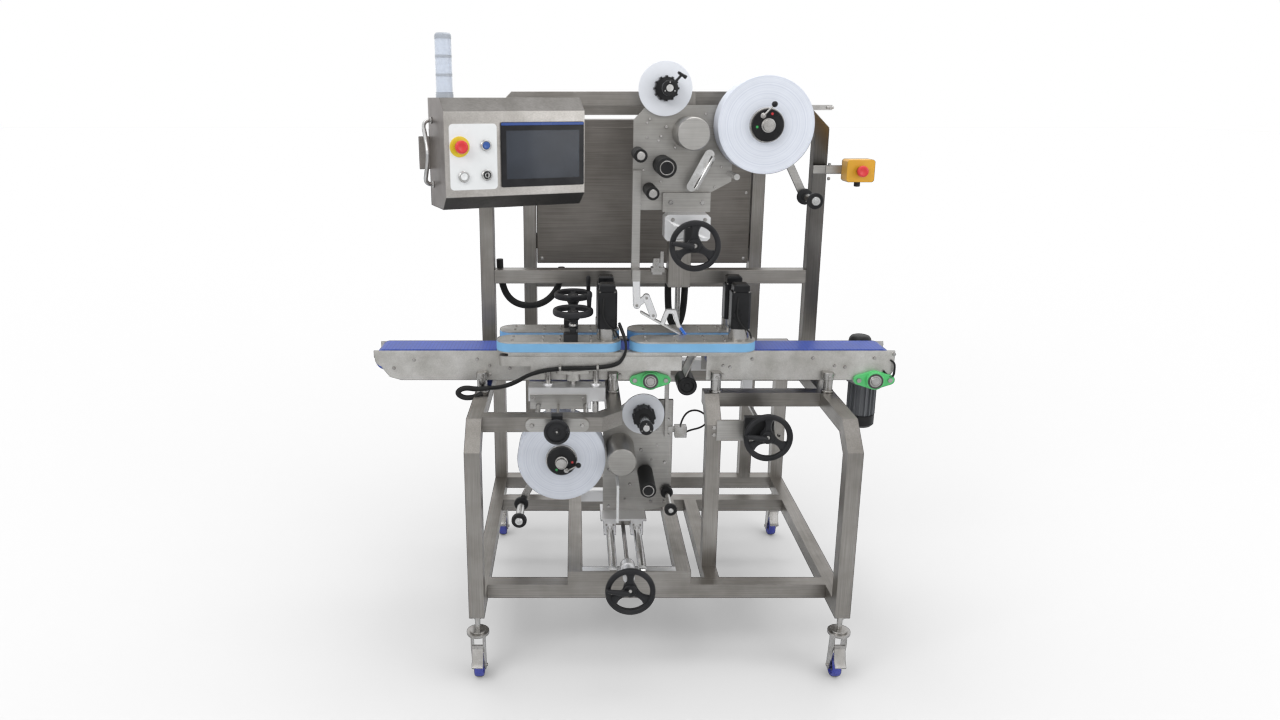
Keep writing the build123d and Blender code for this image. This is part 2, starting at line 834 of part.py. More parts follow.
def grip_carriage():
    """Block that runs on the two guide rods and holds the lift rods in flanged collars."""
    x0, x1 = carriage_ends
    block = bar(x0, carriage_y, carriage_z, x1 - x0, carriage_depth, carriage_height)
    top = carriage_z + carriage_height
    for x in lift_rods_x:
        block += rod((x, lift_y, top), (0, 0, 1), 19, 5)
    foot = guide_rod_z - 13
    for x in guide_rods_x:
        block += bar(x - 18, carriage_y, foot, 36, carriage_depth, carriage_z - foot)
    block += bar(front_slide_x - 20, carriage_y, carriage_z - 25, 40, 45, 25)
    for x in lift_rods_x:
        block -= rod((x, lift_y, 860), (0, 0, 1), lift_rod_r + fit, 120)
    block -= rod((lift_x, lift_y, 860), (0, 0, 1), lift_screw_r + fit, 120)
    for x in guide_rods_x:
        block -= rod((x, carriage_y - 1, guide_rod_z), (0, 1, 0), guide_rod_r + fit, carriage_depth + 2)
    return single(block)


def carriage_face():
    """Slotted plate on the front of the carriage."""
    plate = bar(carriage_ends[0] + 6, carriage_y - 6, carriage_z - 26, 196, 6, 52)
    for x in guide_rods_x:
        plate -= rod((x, carriage_y - 7, guide_rod_z), (0, 1, 0), guide_rod_r + 1, 8)
    return plate


def front_carriage():
    bore = rod((front_slide_x, carriage_y - 10, front_slide_z), (0, 1, 0), front_slide_screw_r + fit, 70)
    return [single(grip_carriage() - bore), single(carriage_face() - bore)]


def rear_carriage():
    """The mirrored block, with a cross bar and hanger that carry the nut of the right screw."""
    block = mirrored([grip_carriage()])
    rear = 2 * path_y - carriage_y
    link = bar(carriage_ends[0], rear, carriage_z + 22, rear_slide_x + 21 - carriage_ends[0], 40, 40)
    hanger = bar(rear_slide_x - 20, rear, rear_slide_z - 22, 40, 12, carriage_z + 22 - rear_slide_z + 22)
    hanger += rod((rear_slide_x, rear + 12, rear_slide_z), (0, 1, 0), 16, 20)
    hanger -= rod((rear_slide_x, rear - 1, rear_slide_z), (0, 1, 0), rear_slide_screw_r + fit, 34)
    return block + [link, single(hanger)]


def grip_frame():
    """Beam, grip plates with round ends, drums inside the belts, lift rods and motor bases."""
    y0, y1 = grip_y + 1, grip_y + grip_depth - 1
    mid = grip_y + grip_depth / 2
    top_z = grip_top - grip_top_plate
    drum_r = grip_depth / 2 - grip_belt_thickness
    beam_top = beam_z + beam_height
    x0, x1 = beam_ends
    beam = bar(x0, beam_y, beam_z, x1 - x0, beam_depth, beam_height)
    pieces = [beam]
    keel_low = grip_belt_z - grip_bottom_plate
    pieces.append(bar(120, beam_y + 4, beam_top, 820, 34, keel_low - beam_top))
    toe = stadium(88, 300, beam_y, beam_y + beam_depth, beam_z + 16, beam_height - 16)
    pieces.append(toe - bar(x0, beam_y - 1, beam_z, 200, beam_depth + 2, beam_height))
    for a, b in (grip_left, grip_right):
        pieces.append(stadium(a + 1, b - 1, y0, y1, top_z, grip_top_plate))
        pieces.append(stadium(a + 1, b - 1, y0, y1, keel_low, grip_bottom_plate))
        for x in (a + grip_depth / 2, b - grip_depth / 2):
            pieces.append(rod((x, mid, grip_belt_z), (0, 0, 1), drum_r, grip_belt_height))
    pieces = drilled(pieces, lift_x, lift_y, lift_screw_r + fit)
    for x in lift_rods_x:
        pieces.append(rod((x, lift_y, lift_rod_foot), (0, 0, 1), lift_rod_r, beam_z - lift_rod_foot))
    for x in grip_motors_x:
        pieces.append(rod((x, mid, grip_top), (0, 0, 1), motor_base_r, motor_base_top - grip_top))
    return pieces


def grip_drives():
    """Motors on their bases, and the bearing block of the lift screw."""
    mid = grip_y + grip_depth / 2
    half = motor_side / 2
    pieces = []
    for x in grip_motors_x:
        height = motor_top - motor_base_top - 28
        body = bar(x - half, mid - half, motor_base_top, motor_side, motor_side, height)
        pieces.append(chamfer(body.edges().filter_by(Axis.Z), 8))
        cap = bar(x - half + 6, mid - half + 6, motor_top - 28, motor_side - 12, motor_side - 12, 28)
        pieces.append(chamfer(cap.edges().group_by(Axis.Z)[-1], 6))
    block = bar(lift_x - 33, lift_y - 20, grip_top, 50, 40, 27)
    neck = rod((lift_x, lift_y, grip_top + 27), (0, 0, 1), 12, 16)
    return pieces + drilled([single(block + neck)], lift_x, lift_y, lift_screw_r + fit)


def grip_bearing():
    """Upright flange bearing of the lift screw, under the beam."""
    lugs = [Pos(side * 46, 0) * Circle(14) for side in (-1, 1)]
    flange = make_hull((Circle(26) + lugs[0] + lugs[1]).edges())
    body = extrude(flange, amount=12) + extrude(Circle(25), amount=36)
    seat = Plane(origin=(lift_x, lift_y, beam_z), x_dir=(1, 0, 0), z_dir=(0, 0, -1))
    return drilled([seat * single(body)], lift_x, lift_y, lift_screw_r + fit)


def grip_belts():
    """One closed belt round each pair of drums."""
    loops = []
    t = grip_belt_thickness
    for a, b in (grip_left, grip_right):
        y0, y1 = grip_y, grip_y + grip_depth
        outer = stadium(a, b, y0, y1, grip_belt_z, grip_belt_height)
        inner = stadium(a + t, b - t, y0 + t, y1 - t, grip_belt_z, grip_belt_height)
        loops.append(outer - inner)
    return loops


# Labelling heads


def pin_bores(plate, places):
    """A head plate with a running bore for every shaft."""
    for x, z, radius in places:
        plate -= rod((x, head_plate_y - 1, z), (0, 1, 0), radius + fit, head_plate + 2)
    return plate


def unwind_reel(place):
    """Label roll on its core, clamped by a hub with a lever, on one spindle."""
    x, z = place
    roll = ring((x, reel_front_y, z), (0, 1, 0), reel_r, reel_core_r, reel_back_y - reel_front_y)
    core = rod((x, hub_cap_front_y, z), (0, 1, 0), reel_core_r, reel_back_y + 4 - hub_cap_front_y)
    cap = rod((x, hub_cap_front_y + 8, z), (0, 1, 0), hub_cap_r, reel_front_y - hub_cap_front_y - 8)
    nose = rod((x, hub_cap_front_y - 16, z), (0, 1, 0), spindle_head_r, 17)
    spindle = rod((x, reel_back_y + 3, z), (0, 1, 0), spindle_r, head_back + 4 - reel_back_y - 3)
    lever = Plane(origin=(x, hub_cap_front_y + 4, z), x_dir=(0.65, 0, 0.76), z_dir=(0, -1, 0))
    arm = lever * Pos(20, -4, -6) * Box(48, 8, 8, align=(Align.MIN,) * 3)
    ball = lever * Pos(68, 0, 6) * Cylinder(9, 16)
    hub = core + cap + nose + spindle + arm + ball
    return [roll, single(hub)]


def rewind_reel(place, radius):
    """Backing disc and toothed core on a mandrel with a knob."""
    x, z = place
    disc = rod((x, rewind_disc_y, z), (0, 1, 0), radius, 4)
    core = rod((x, rewind_disc_y - 48, z), (0, 1, 0), mandrel_hub_r - 4, 48)
    for i in range(12):
        tooth = Plane(origin=(x, rewind_disc_y - 48, z), z_dir=(0, 1, 0)) * Rot(0, 0, i * 30)
        core += tooth * Pos(mandrel_hub_r - 6, -4, 0) * Box(7, 8, 44, align=(Align.MIN,) * 3)
    mandrel = rod((x, mandrel_front_y + 20, z), (0, 1, 0), mandrel_r, rewind_disc_y - mandrel_front_y - 20)
    knob = rod((x, mandrel_front_y, z), (0, 1, 0), mandrel_knob_r, 22)
    spindle = rod((x, rewind_disc_y + 3, z), (0, 1, 0), spindle_r, head_back + 4 - rewind_disc_y)
    return [single(disc + core + mandrel + knob + spindle)]


def head_roller(place, radius, front=roller_front_y, back=head_plate_y - roller_gap):
    """Plain roller with a stepped end, on its own shaft."""
    x, z = place
    body = rod((x, front + 4, z), (0, 1, 0), radius, back - front - 4)
    end = rod((x, front, z), (0, 1, 0), radius * 0.72, 5)
    shaft = rod((x, back - 1, z), (0, 1, 0), pin_r, head_back + 6 - back)
    return [single(body + end + shaft)]


def flanged_roller(place, flange, core, back, tail):
    """Thin roller between two round flanges, on its own shaft."""
    x, z = place
    body = rod((x, roller_front_y, z), (0, 1, 0), core, back - roller_front_y)
    for y in (roller_front_y + 6, back - 20):
        disc = rod((x, y, z), (0, 1, 0), flange, 14)
        body += chamfer(disc.edges(), 3)
    body += rod((x, back - 1, z), (0, 1, 0), pin_r, tail)
    return [single(body)]


def link(start, end, width, y, thickness):
    """A flat arm with round ends between two (x, z) points."""
    (xa, za), (xb, zb) = start, end
    reach = ((xb - xa) ** 2 + (zb - za) ** 2) ** 0.5
    middle = ((xa + xb) / 2, y, (za + zb) / 2)
    seat = Plane(origin=middle, x_dir=(xb - xa, 0, zb - za), z_dir=(0, -1, 0))
    return seat * extrude(SlotCenterToCenter(reach, width), amount=-thickness)


def dancer_arm(pivot, tip):
    """Flat arm from its pivot pin to the bore of the dancer roller."""
    width, thick = dancer_arm_section
    arm = link(tip, pivot, width, dancer_y, thick)
    arm += rod((pivot[0], dancer_y + thick - 1, pivot[1]), (0, 1, 0), pin_r, head_back + 4 - dancer_y - thick)
    arm -= rod((tip[0], dancer_y - 1, tip[1]), (0, 1, 0), pin_r + fit, thick + 2)
    return [single(arm)]


def sloped_plate(points, thickness, y, width):
    """A bent strip of (x, z) points with a width along y."""
    strip = []
    for (xa, za), (xb, zb) in zip(points, points[1:]):
        run = ((xb - xa) ** 2 + (zb - za) ** 2) ** 0.5
        seat = Plane(origin=(xa, y, za), x_dir=(xb - xa, 0, zb - za), z_dir=(0, 1, 0))
        strip.append(seat * Box(run, thickness, width, align=(Align.MIN,) * 3))
    return strip


def lower_head():
    """Head plate on a carriage with two bearing blocks, with the parts that do not turn."""
    left, right = lower_plate_x
    low, top = lower_plate_z
    outline = [(left, low), (right - 81, low), (right, low + 18), (right, top), (left + 102, top),
               (left, top - 77)]
    x, z = lower_unwind
    wing = [(x - 103, z - 62), (x - 53, z - 82), (x + 27, z - 52), (left, z - 52), (left, z + 38),
            (x - 13, z + 38)]
    places = [(*lower_unwind, spindle_r), (*lower_rewind, spindle_r), (*lower_drive, pin_r),
              (*lower_idler, pin_r), (*lower_dancer_pivot, pin_r)]
    plates = [upright(shape, head_plate_y, head_plate) for shape in (outline, wing)]
    pieces = [single(pin_bores(plate, places)) for plate in plates]
    x, z = lower_motor
    pieces.append(walled(rod((x, 340, z), (0, 1, 0), lower_motor_r, head_plate_y - 340), tube_wall))
    post_x = lower_idler[0] - 15
    pieces.append(bar(post_x, head_plate_y - 27, 700, 12, 27, 223))
    pieces.append(bar(505, 395, 393, 9, 12, 150))
    pieces.append(bar(505, 407, 531, 9, head_plate_y - 407, 12))
    y0 = path_y - lower_web / 2
    pieces += sloped_plate(lower_peel, 4, y0, lower_web)
    rx, rz = lower_peel_roller
    pieces.append(rod((rx, y0, rz), (0, 1, 0), lower_peel_roller_r, lower_web))
    back = y0 + lower_web
    cheek = [(rx - 17, rz - 14), (rx + 20, rz - 14), (785, 1046), (778, 1046), (rx - 17, rz + 24)]
    pieces.append(upright(cheek, back, 2))
    pieces.append(bar(post_x + 12, back + 2, rz - 14, rx + 20 - post_x - 12, 10, 24))
    return pieces + lower_carriage()


def lower_carriage():
    """Two bearing blocks, a top plate, the nut of the screw and two gussets."""
    y0, depth = 430.0, 130.0
    low, high = slide_z - 24, 385.0
    bore_run = depth + 2
    pieces = []
    for side in (-1, 1):
        x = slide_x + side * slide_spread
        block = bar(x - 22, y0, low, 44, depth, high - low)
        pieces.append(block - rod((x, y0 - 1, slide_z), (0, 1, 0), slide_shaft_r + fit, bore_run))
    nut = bar(slide_x - 28, y0 + 70, low + 6, 56, 40, high - low - 6)
    pieces.append(nut - rod((slide_x, y0, slide_z), (0, 1, 0), slide_screw_r + fit, bore_run))
    pieces.append(bar(slide_x - 85, y0, high, 170, depth, 393 - high))
    back = head_back
    gusset = [(back, 393), (y0 + depth, 393), (back, 520)]
    return pieces + [across(gusset, x, 10) for x in (470, 600)]


def upper_head():
    """Head plate with the saddle on the column, gearbox, motor cover and applicator."""
    left, right = upper_plate_x
    low, top = upper_plate_z
    outline = [(left, low), (right - 74, low), (right - 74, low + 59), (right, low + 99), (right, top - 19),
               (right - 37, top), (left + 47, top), (left, top - 49)]
    x, z = upper_unwind
    wing = [(right, z + 40), (x + 20, z + 40), (x + 90, z - 20), (x + 90, z - 70), (x + 35, z - 70),
            (right, z - 45)]
    x, z = upper_rewind
    ear = [(x - 47, top), (x + 47, top), (x + 35, z + 37), (x - 35, z + 37)]
    places = [(*upper_unwind, spindle_r), (*upper_rewind, spindle_r), (*upper_drive, pin_r),
              (*upper_dancer_pivot, pin_r)]
    places += [(*place, pin_r) for place in upper_idlers]
    plates = [upright(shape, head_plate_y, head_plate) for shape in (outline, wing, ear)]
    pieces = [single(pin_bores(plate, places)) for plate in plates]
    x, z = upper_motor
    pieces.append(walled(rod((x, 340, z), (0, 1, 0), upper_motor_r, head_plate_y - 340), tube_wall))
    return pieces + upper_saddle() + upper_gearbox() + applicator() + sensor_bar()


def upper_saddle():
    """Block that runs on the front and both sides of the column."""
    low, high = saddle_low, saddle_low + saddle_height
    half = column_width / 2 + 0.3
    front = upper_y - column_depth - 0.3
    block = bar(column_x - half - 12, head_back, low, 2 * half + 24, front - head_back, high - low)
    for x in (column_x - half - 12, column_x + half):
        block += bar(x, front, low, 12, 45, high - low)
    return [single(block)]


def upper_gearbox():
    """Gearbox below the head plate, its mounting plate, counter and shaft sleeve."""
    x, z = upper_wheel
    mount = bar(657, head_plate_y - 27, 1537, 166, 27, 66)
    box = chamfer(bar(658, gearbox_y, 1447, 156, 80, 90).edges().filter_by(Axis.Y), 10)
    sleeve = rod((x, 330, z), (0, 1, 0), 15, gearbox_y - 330)
    counter = bar(x - 22, 290, z - 20, 44, 40, 66)
    bore = rod((x, 280, z), (0, 1, 0), 8 + fit, gearbox_y + 30 - 280)
    link = bar(680, gearbox_y + 80, 1500, 120, 27, 37)
    return [mount, box - bore, sleeve - bore, counter - bore, link]


def applicator():
    """Hanging bar, two cast arms, the narrow peel plate and the wiper at its tip."""
    x = applicator_x
    half = peel_width / 2
    front = path_y - half
    stem_low = elbow[1] + 100
    stem = bar(x - 14, head_plate_y - 24, stem_low + 6, 28, 24, 360)
    reach = bar(x - 14, front, stem_low - 14, 28, head_plate_y - 24 - front, 40)
    tip = link((x, stem_low), elbow, 24, front + 2, 14)
    tip += link(elbow, shoulder, 20, front + 12, 12)
    tip += link(shoulder, wrist, 24, front + 6, 20)
    for start, end in zip(hook, hook[1:]):
        tip += link(start, end, 13, front + 6, 20)
    for strip in sloped_plate(upper_peel, 4, front, peel_width):
        tip += strip
    tip += link(*wiper, 9, front, peel_width)
    tip -= bar(x - 14, front, stem_low - 14, 28, head_plate_y - 24 - front, 60)
    return [stem, reach, single(tip)]


def sensor_bar():
    """Polished bar beside a bracket, held off the head plate by two pins, and a plain stud."""
    (xa, za), (xb, zb) = sensor_bar_low, sensor_bar_high
    reach = ((xb - xa) ** 2 + (zb - za) ** 2) ** 0.5
    holder = rod((xa, sensor_y, za), (xb - xa, 0, zb - za), sensor_bar_r, reach)
    sideways = (-sensor_offset * (zb - za) / reach, sensor_offset * (xb - xa) / reach)
    low = (xa + sideways[0] * 0.6, za + sideways[1] * 0.6)
    high = (xb + sideways[0] * 0.6, zb + sideways[1] * 0.6)
    holder += link(low, high, sensor_offset + 8, sensor_y + 2, 6)
    seat = sensor_y + 8
    pins = [rod((x, seat, z), (0, 1, 0), 6, head_plate_y - seat) for x, z in
            ((low[0] + 12, low[1] + 22), (high[0] - 12, high[1] - 22))]
    x, z = upper_stud
    return [single(holder)] + pins + [rod((x, 350, z), (0, 1, 0), 10, head_plate_y - 350)]


def upper_column():
    """Square guide column in front of the upper rails, with the foot of its lift screw."""
    z = cross_rail_z
    column = bar(column_x - column_width / 2, upper_y - column_depth, z, column_width, column_depth,
                 upper_top - z)
    screw = rod((column_x, upper_y - 40, z - 130), (0, 0, 1), 9, 130)
    return [column, screw]


# Controls


def panel_frame():
    return Pos(*panel_place) * Rot(0, 0, panel_yaw)


def control_box():
    """Box with sloped top and bottom edges, bow handle, and two ears with the swivel pin."""
    half, slope = panel_face / 2, panel_slope
    high = half + slope
    back = panel_depth
    profile = [(0, -half), (0, half), (slope, high), (back, high), (back, -high), (slope, -high)]
    shell = walled(across(profile, -panel_width / 2, panel_width), sheet_wall)
    side = -panel_width / 2
    out = side - handle_reach
    bow = cable([(side, handle_back, handle_span), (out, handle_back, handle_span), (out, handle_front, 0),
                 (out, handle_back, -handle_span), (side, handle_back, -handle_span)], handle_r)
    wing = bar(side - wing_width, panel_depth - 6, wing_low, wing_width, 6, wing_height)
    x = swivel_local_x()
    gap = arm_side / 2 + 0.3
    ears = [bar(x - 28, panel_depth, z, 56, swivel_reach + 24, 8) for z in (gap, -gap - 8)]
    pin = rod((x, panel_depth + swivel_reach, -gap - 8), (0, 0, 1), swivel_r, 2 * gap + 16)
    hinge = ears[0] + ears[1] + pin
    return placed(panel_frame(), [shell, bow, wing, single(hinge)])


def touch_screen():
    x, z = screen_low
    width, height = screen_size
    return placed(panel_frame(), [bar(x, -6, z, width, 6, height)])


def button_ring(place, outer, inner):
    """A raised ring on the button plate."""
    return ring((place[0], -2 - ring_height, place[1]), (0, 1, 0), outer, inner, ring_height)


def button_plate():
    """Rounded plate with a ring round each button."""
    x, z = plate_low
    width, height = plate_size
    plate = fillet(bar(x, -2, z, width, 2, height).edges().filter_by(Axis.Y), 12)
    rings = [button_ring(p, button_ring_r, button_r + 0.3) for p in (start_place, reset_place, key_place)]
    rings.append(button_ring(stop_place, stop_ring_r, stop_stem_r + 0.3))
    return placed(panel_frame(), [plate] + rings)


def push_button(place):
    """Flat button that slides in its ring."""
    height = ring_height - 3.5 + 2
    cap = rod((place[0], -2 - ring_height - 2, place[1]), (0, 1, 0), button_r, height)
    return placed(panel_frame(), [cap])


def key_switch():
    x, z = key_place
    core = rod((x, -2 - ring_height - 2, z), (0, 1, 0), button_r, ring_height + 1.7)
    core += bar(x - 3, -2 - ring_height - 14, z - 9, 6, 13, 18)
    return placed(panel_frame(), [single(core)])


def mushroom(travel):
    """Mushroom head on its stem, pointing along local -y, with the ring face at y zero."""
    stem = rod((0, -travel - 1.5, 0), (0, 1, 0), stop_stem_r, ring_height - 1)
    head = rod((0, -travel - 19.5, 0), (0, 1, 0), stop_head_r, 19)
    head = chamfer(head.edges().group_by(Axis.Y)[0], 5)
    return single(stem + head)


def panel_stop():
    seat = panel_frame() * Pos(stop_place[0], -2 - ring_height, stop_place[1])
    return [seat * mushroom(stop_travel)]


def stack_light():
    """Round base, three lens segments and a cap."""
    x, y = beacon_place
    z = panel_face / 2 + panel_slope
    pieces = [rod((x, y, z), (0, 0, 1), beacon_r, beacon_base)]
    for i in range(3):
        seat = z + beacon_base + i * beacon_segment
        pieces.append(rod((x, y, seat), (0, 0, 1), beacon_r - 2, beacon_segment))
    cap = rod((x, y, z + beacon_base + 3 * beacon_segment), (0, 0, 1), beacon_r - 2, 10)
    pieces.append(chamfer(cap.edges().group_by(Axis.Z)[-1], 5))
    return placed(panel_frame(), pieces)


def side_stop_housing():
    """Box for the second emergency stop, on an arm from the right post."""
    x, y, z = side_stop_box
    dx, dy, dz = side_stop_size
    shell = chamfer(bar(x, y, z, dx, dy, dz).edges().filter_by(Axis.Y), 6)
    middle = (x + dx / 2, y - ring_height, z + dz / 2)
    collar = ring(middle, (0, 1, 0), stop_ring_r, stop_stem_r + 0.3, ring_height)
    arm = bar(frame_width, y + dy, z + dz / 2 - 15, x + dx - frame_width - 20, 5, 30)
    tab = bar(frame_width - tube, upper_y - 5, z + dz / 2 - 15, tube, 5, 30)
    tab += bar(frame_width - 5, y + dy, z + dz / 2 - 15, 5, upper_y - y - dy, 30)
    gland = rod((x + dx / 2, y + dy / 2, z - 18), (0, 0, 1), 10, 18)
    return [shell, collar, single(arm + tab), gland]


def side_stop():
    x, y, z = side_stop_box
    dx, dy, dz = side_stop_size
    return [Pos(x + dx / 2, y - ring_height, z + dz / 2) * mushroom(stop_travel)]


# Cables


def cable(points, radius):
    """A round cord on straight runs joined by arcs."""
    runs = [Vector(*b) - Vector(*a) for a, b in zip(points, points[1:])]
    bends = []
    for before, after in zip(runs, runs[1:]):
        turn = radians(before.get_angle(after))
        bends.append(0.45 * min(before.length, after.length) / tan(turn / 2))
    path = FilletPolyline(*points, radius=bends)
    section = Plane(origin=path @ 0, z_dir=path % 0) * Circle(radius)
    return sweep(section, path=path)


def motor_cable():
    """Bundle along the front beam, from the bed post up to the first motor."""
    x0, x1 = beam_ends
    y = beam_y - 10
    z = beam_z + 12
    points = [
        (52, y + 12, 941),
        (110, y + 8, 941),
        (x0 + 30, y, z),
        (490, y, z),
        (528, y, z + 50),
        (527, y + 2, grip_top + 10),
        (504.6, y + 35, grip_top + 56),
    ]
    return [cable(points, 8)]


def hoses():
    """Hose loop beside the left post and a conduit loop behind the rear grip."""
    y = upper_y + tube + 12.3
    left = tube + 16
    loop = cable([(left, y, 1330), (left, y, 1230), (120, y, 1150), (230, y, 1150), (300, y, 1230),
                  (300, y, 1299)], 12)
    x, y = column_x - 30, upper_y + tube / 2
    conduit = cable([(x, y, cross_rail_z), (x, y, 1080), (x + 64, y, 1080), (x + 64, y, cross_rail_z)], 12)
    return [loop, conduit]


def parts_by_name():
    corners = caster_corners()
    nodes = {
        "lower_frame": lower_frame() + bed_posts(),
        "upper_frame": upper_frame() + upper_column(),
        "rear_cabinet": rear_cabinet(),
        "caster_stems": caster_stems(),
        "conveyor_beds": conveyor_bed("infeed") + conveyor_bed("outfeed"),
        "conveyor_belts": conveyor_belt("infeed") + conveyor_belt("outfeed"),
        "bed_bearings": bed_bearings(),
        "gearmotor": gearmotor(),
        "infeed_drive_roller": drive_roller(infeed_drive_x, bed_y + bed_width + 32),
        "outfeed_drive_roller": drive_roller(outfeed_drive_x, bed_y + bed_width + 86),
        "guide_rods": guide_rods() + slide_saddles(),
        "adjuster_blocks": adjuster_blocks(),
        "front_carriage": front_carriage(),
        "front_grip": grip_frame() + grip_bearing(),
        "front_grip_drives": grip_drives(),
        "front_grip_belts": grip_belts(),
        "front_lift_wheel": lift_wheel(lift_y, front_lift_z),
        "front_slide_wheel": front_slide_wheel(),
        "rear_carriage": rear_carriage(),
        "rear_grip": mirrored(grip_frame() + grip_bearing()),
        "rear_grip_drives": mirrored(grip_drives()),
        "rear_grip_belts": mirrored(grip_belts()),
        "rear_lift_wheel": lift_wheel(2 * path_y - lift_y, rear_lift_z),
        "rear_slide_wheel": rear_slide_wheel(),
        "lower_handwheel": lower_handwheel(),
        "lower_head": lower_head(),
        "lower_unwind_reel": unwind_reel(lower_unwind),
        "lower_rewind_reel": rewind_reel(lower_rewind, lower_rewind_r),
        "lower_drive_roller": head_roller(lower_drive, lower_drive_r),
        "lower_idler": flanged_roller(lower_idler, idler_flange_r, idler_core_r,
                                      head_plate_y - roller_gap, 20),
        "lower_dancer_arm": dancer_arm(lower_dancer_pivot, lower_dancer),
        "lower_dancer_roller": flanged_roller(lower_dancer, dancer_flange_r, dancer_core_r, dancer_back, 11),
        "upper_handwheel": upper_handwheel(),
        "upper_head": upper_head(),
        "upper_unwind_reel": unwind_reel(upper_unwind),
        "upper_rewind_reel": rewind_reel(upper_rewind, upper_rewind_r),
        "upper_drive_roller": head_roller(upper_drive, upper_drive_r),
        "upper_idler_a": head_roller(upper_idlers[0], knurled_r),
        "upper_idler_b": head_roller(upper_idlers[1], knurled_r),
        "upper_dancer_arm": dancer_arm(upper_dancer_pivot, upper_dancer),
        "upper_dancer_roller": flanged_roller(upper_dancer, dancer_flange_r, dancer_core_r, dancer_back, 11),
        "control_box": control_box(),
        "panel_fittings": touch_screen() + button_plate(),
        "panel_estop": panel_stop(),
        "start_button": push_button(start_place),
        "reset_button": push_button(reset_place),
        "key_switch": key_switch(),
        "stack_light": stack_light(),
        "side_estop_box": side_stop_housing(),
        "side_estop_button": side_stop(),
        "motor_cable": motor_cable(),
        "hoses": hoses(),
    }
    for name, (x, y) in corners.items():
        nodes["caster_fork_" + name] = caster_fork(x, y)
        nodes["caster_wheel_" + name] = caster_wheel(x, y)
    return nodes


def main():
    nodes = parts_by_name()
    whole = Compound(children=[Compound(children=list(shapes)) for shapes in nodes.values()])
    box = whole.bounding_box()
    shift = Pos(-(box.min.X + box.max.X) / 2, -(box.min.Y + box.max.Y) / 2, -box.min.Z)
    os.makedirs("parts", exist_ok=True)
    for name, shapes in nodes.items():
        solids = [shift * solid for shape in shapes for solid in shape.solids()]
        export_step(Compound(children=solids), "parts/" + name + ".step")


if __name__ == "__main__":
    main()
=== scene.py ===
"""Bottle labelling machine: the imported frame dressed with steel, rubber, paper and plastics."""

import math

import bmesh
import bpy
from bpy.props import FloatProperty, FloatVectorProperty, PointerProperty
from bpy.types import Operator, Panel, PropertyGroup
from mathutils import Matrix, Vector


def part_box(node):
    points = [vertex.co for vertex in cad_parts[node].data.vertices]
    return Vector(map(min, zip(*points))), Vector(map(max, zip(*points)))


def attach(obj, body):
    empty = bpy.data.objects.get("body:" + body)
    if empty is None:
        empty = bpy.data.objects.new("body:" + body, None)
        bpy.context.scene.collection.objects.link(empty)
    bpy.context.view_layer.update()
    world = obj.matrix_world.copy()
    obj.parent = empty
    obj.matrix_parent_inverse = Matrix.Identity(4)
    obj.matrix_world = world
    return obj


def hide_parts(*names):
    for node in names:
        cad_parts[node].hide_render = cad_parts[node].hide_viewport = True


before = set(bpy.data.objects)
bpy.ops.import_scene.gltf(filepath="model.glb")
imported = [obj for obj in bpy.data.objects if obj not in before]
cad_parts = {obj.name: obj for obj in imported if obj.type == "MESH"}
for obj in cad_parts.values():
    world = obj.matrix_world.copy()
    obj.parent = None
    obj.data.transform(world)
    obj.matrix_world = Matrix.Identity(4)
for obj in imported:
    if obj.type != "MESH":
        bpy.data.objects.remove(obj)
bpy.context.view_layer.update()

bl_info = {
    "name": "Bottle labelling machine",
    "version": (1, 0, 0),
    "blender": (4, 5, 0),
    "location": "View3D > Sidebar > Labeller",
    "description": "Dresses the frame of a top-and-bottom bottle labelling machine",
    "category": "Object",
}

# The working datum is the outer front foot of the left front leg, on the floor, in millimetres
BENCH_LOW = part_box("lower_frame")[0]
DATUM = Vector((BENCH_LOW.x, BENCH_LOW.y, 0.0))

# Places that several pieces share, in datum millimetres
PATH_Y = 445.0
HEAD_Y = 507.0
BED_FRONT_Y = 380.0
BED_REAR_Y = 510.0
DRIVE_Z = 958.0
POSTS_X = (25, 485, 848, 1241)
REAR_POSTS_X = (25, 485, 1241)
GRIP_MOTORS_X = (463, 922)
GRIP_TOP_Z = 1109.0
GRIP_MOTOR_TOP_Z = 1278.0
PANEL_PLACE = (170.0, 192.0, 1754.0)
PANEL_YAW = math.radians(22.5)
START_BUTTON_PLACE = (-101, 27)
RESET_BUTTON_PLACE = (-173, -66)
KEY_SWITCH_PLACE = (-100, -63)
PANEL_STOP_PLACE = (-183, 24)


def at(x, y, z):
    """A point of the datum in the row frame, in metres."""
    return DATUM + Vector((x, y, z)) / 1000.0


# Node groups


def group_socket(tree, name, kind, way, default=None):
    """A named input or output of a node group."""
    socket = tree.interface.new_socket(name=name, in_out=way, socket_type=kind)
    if default is not None:
        socket.default_value = default
    return socket


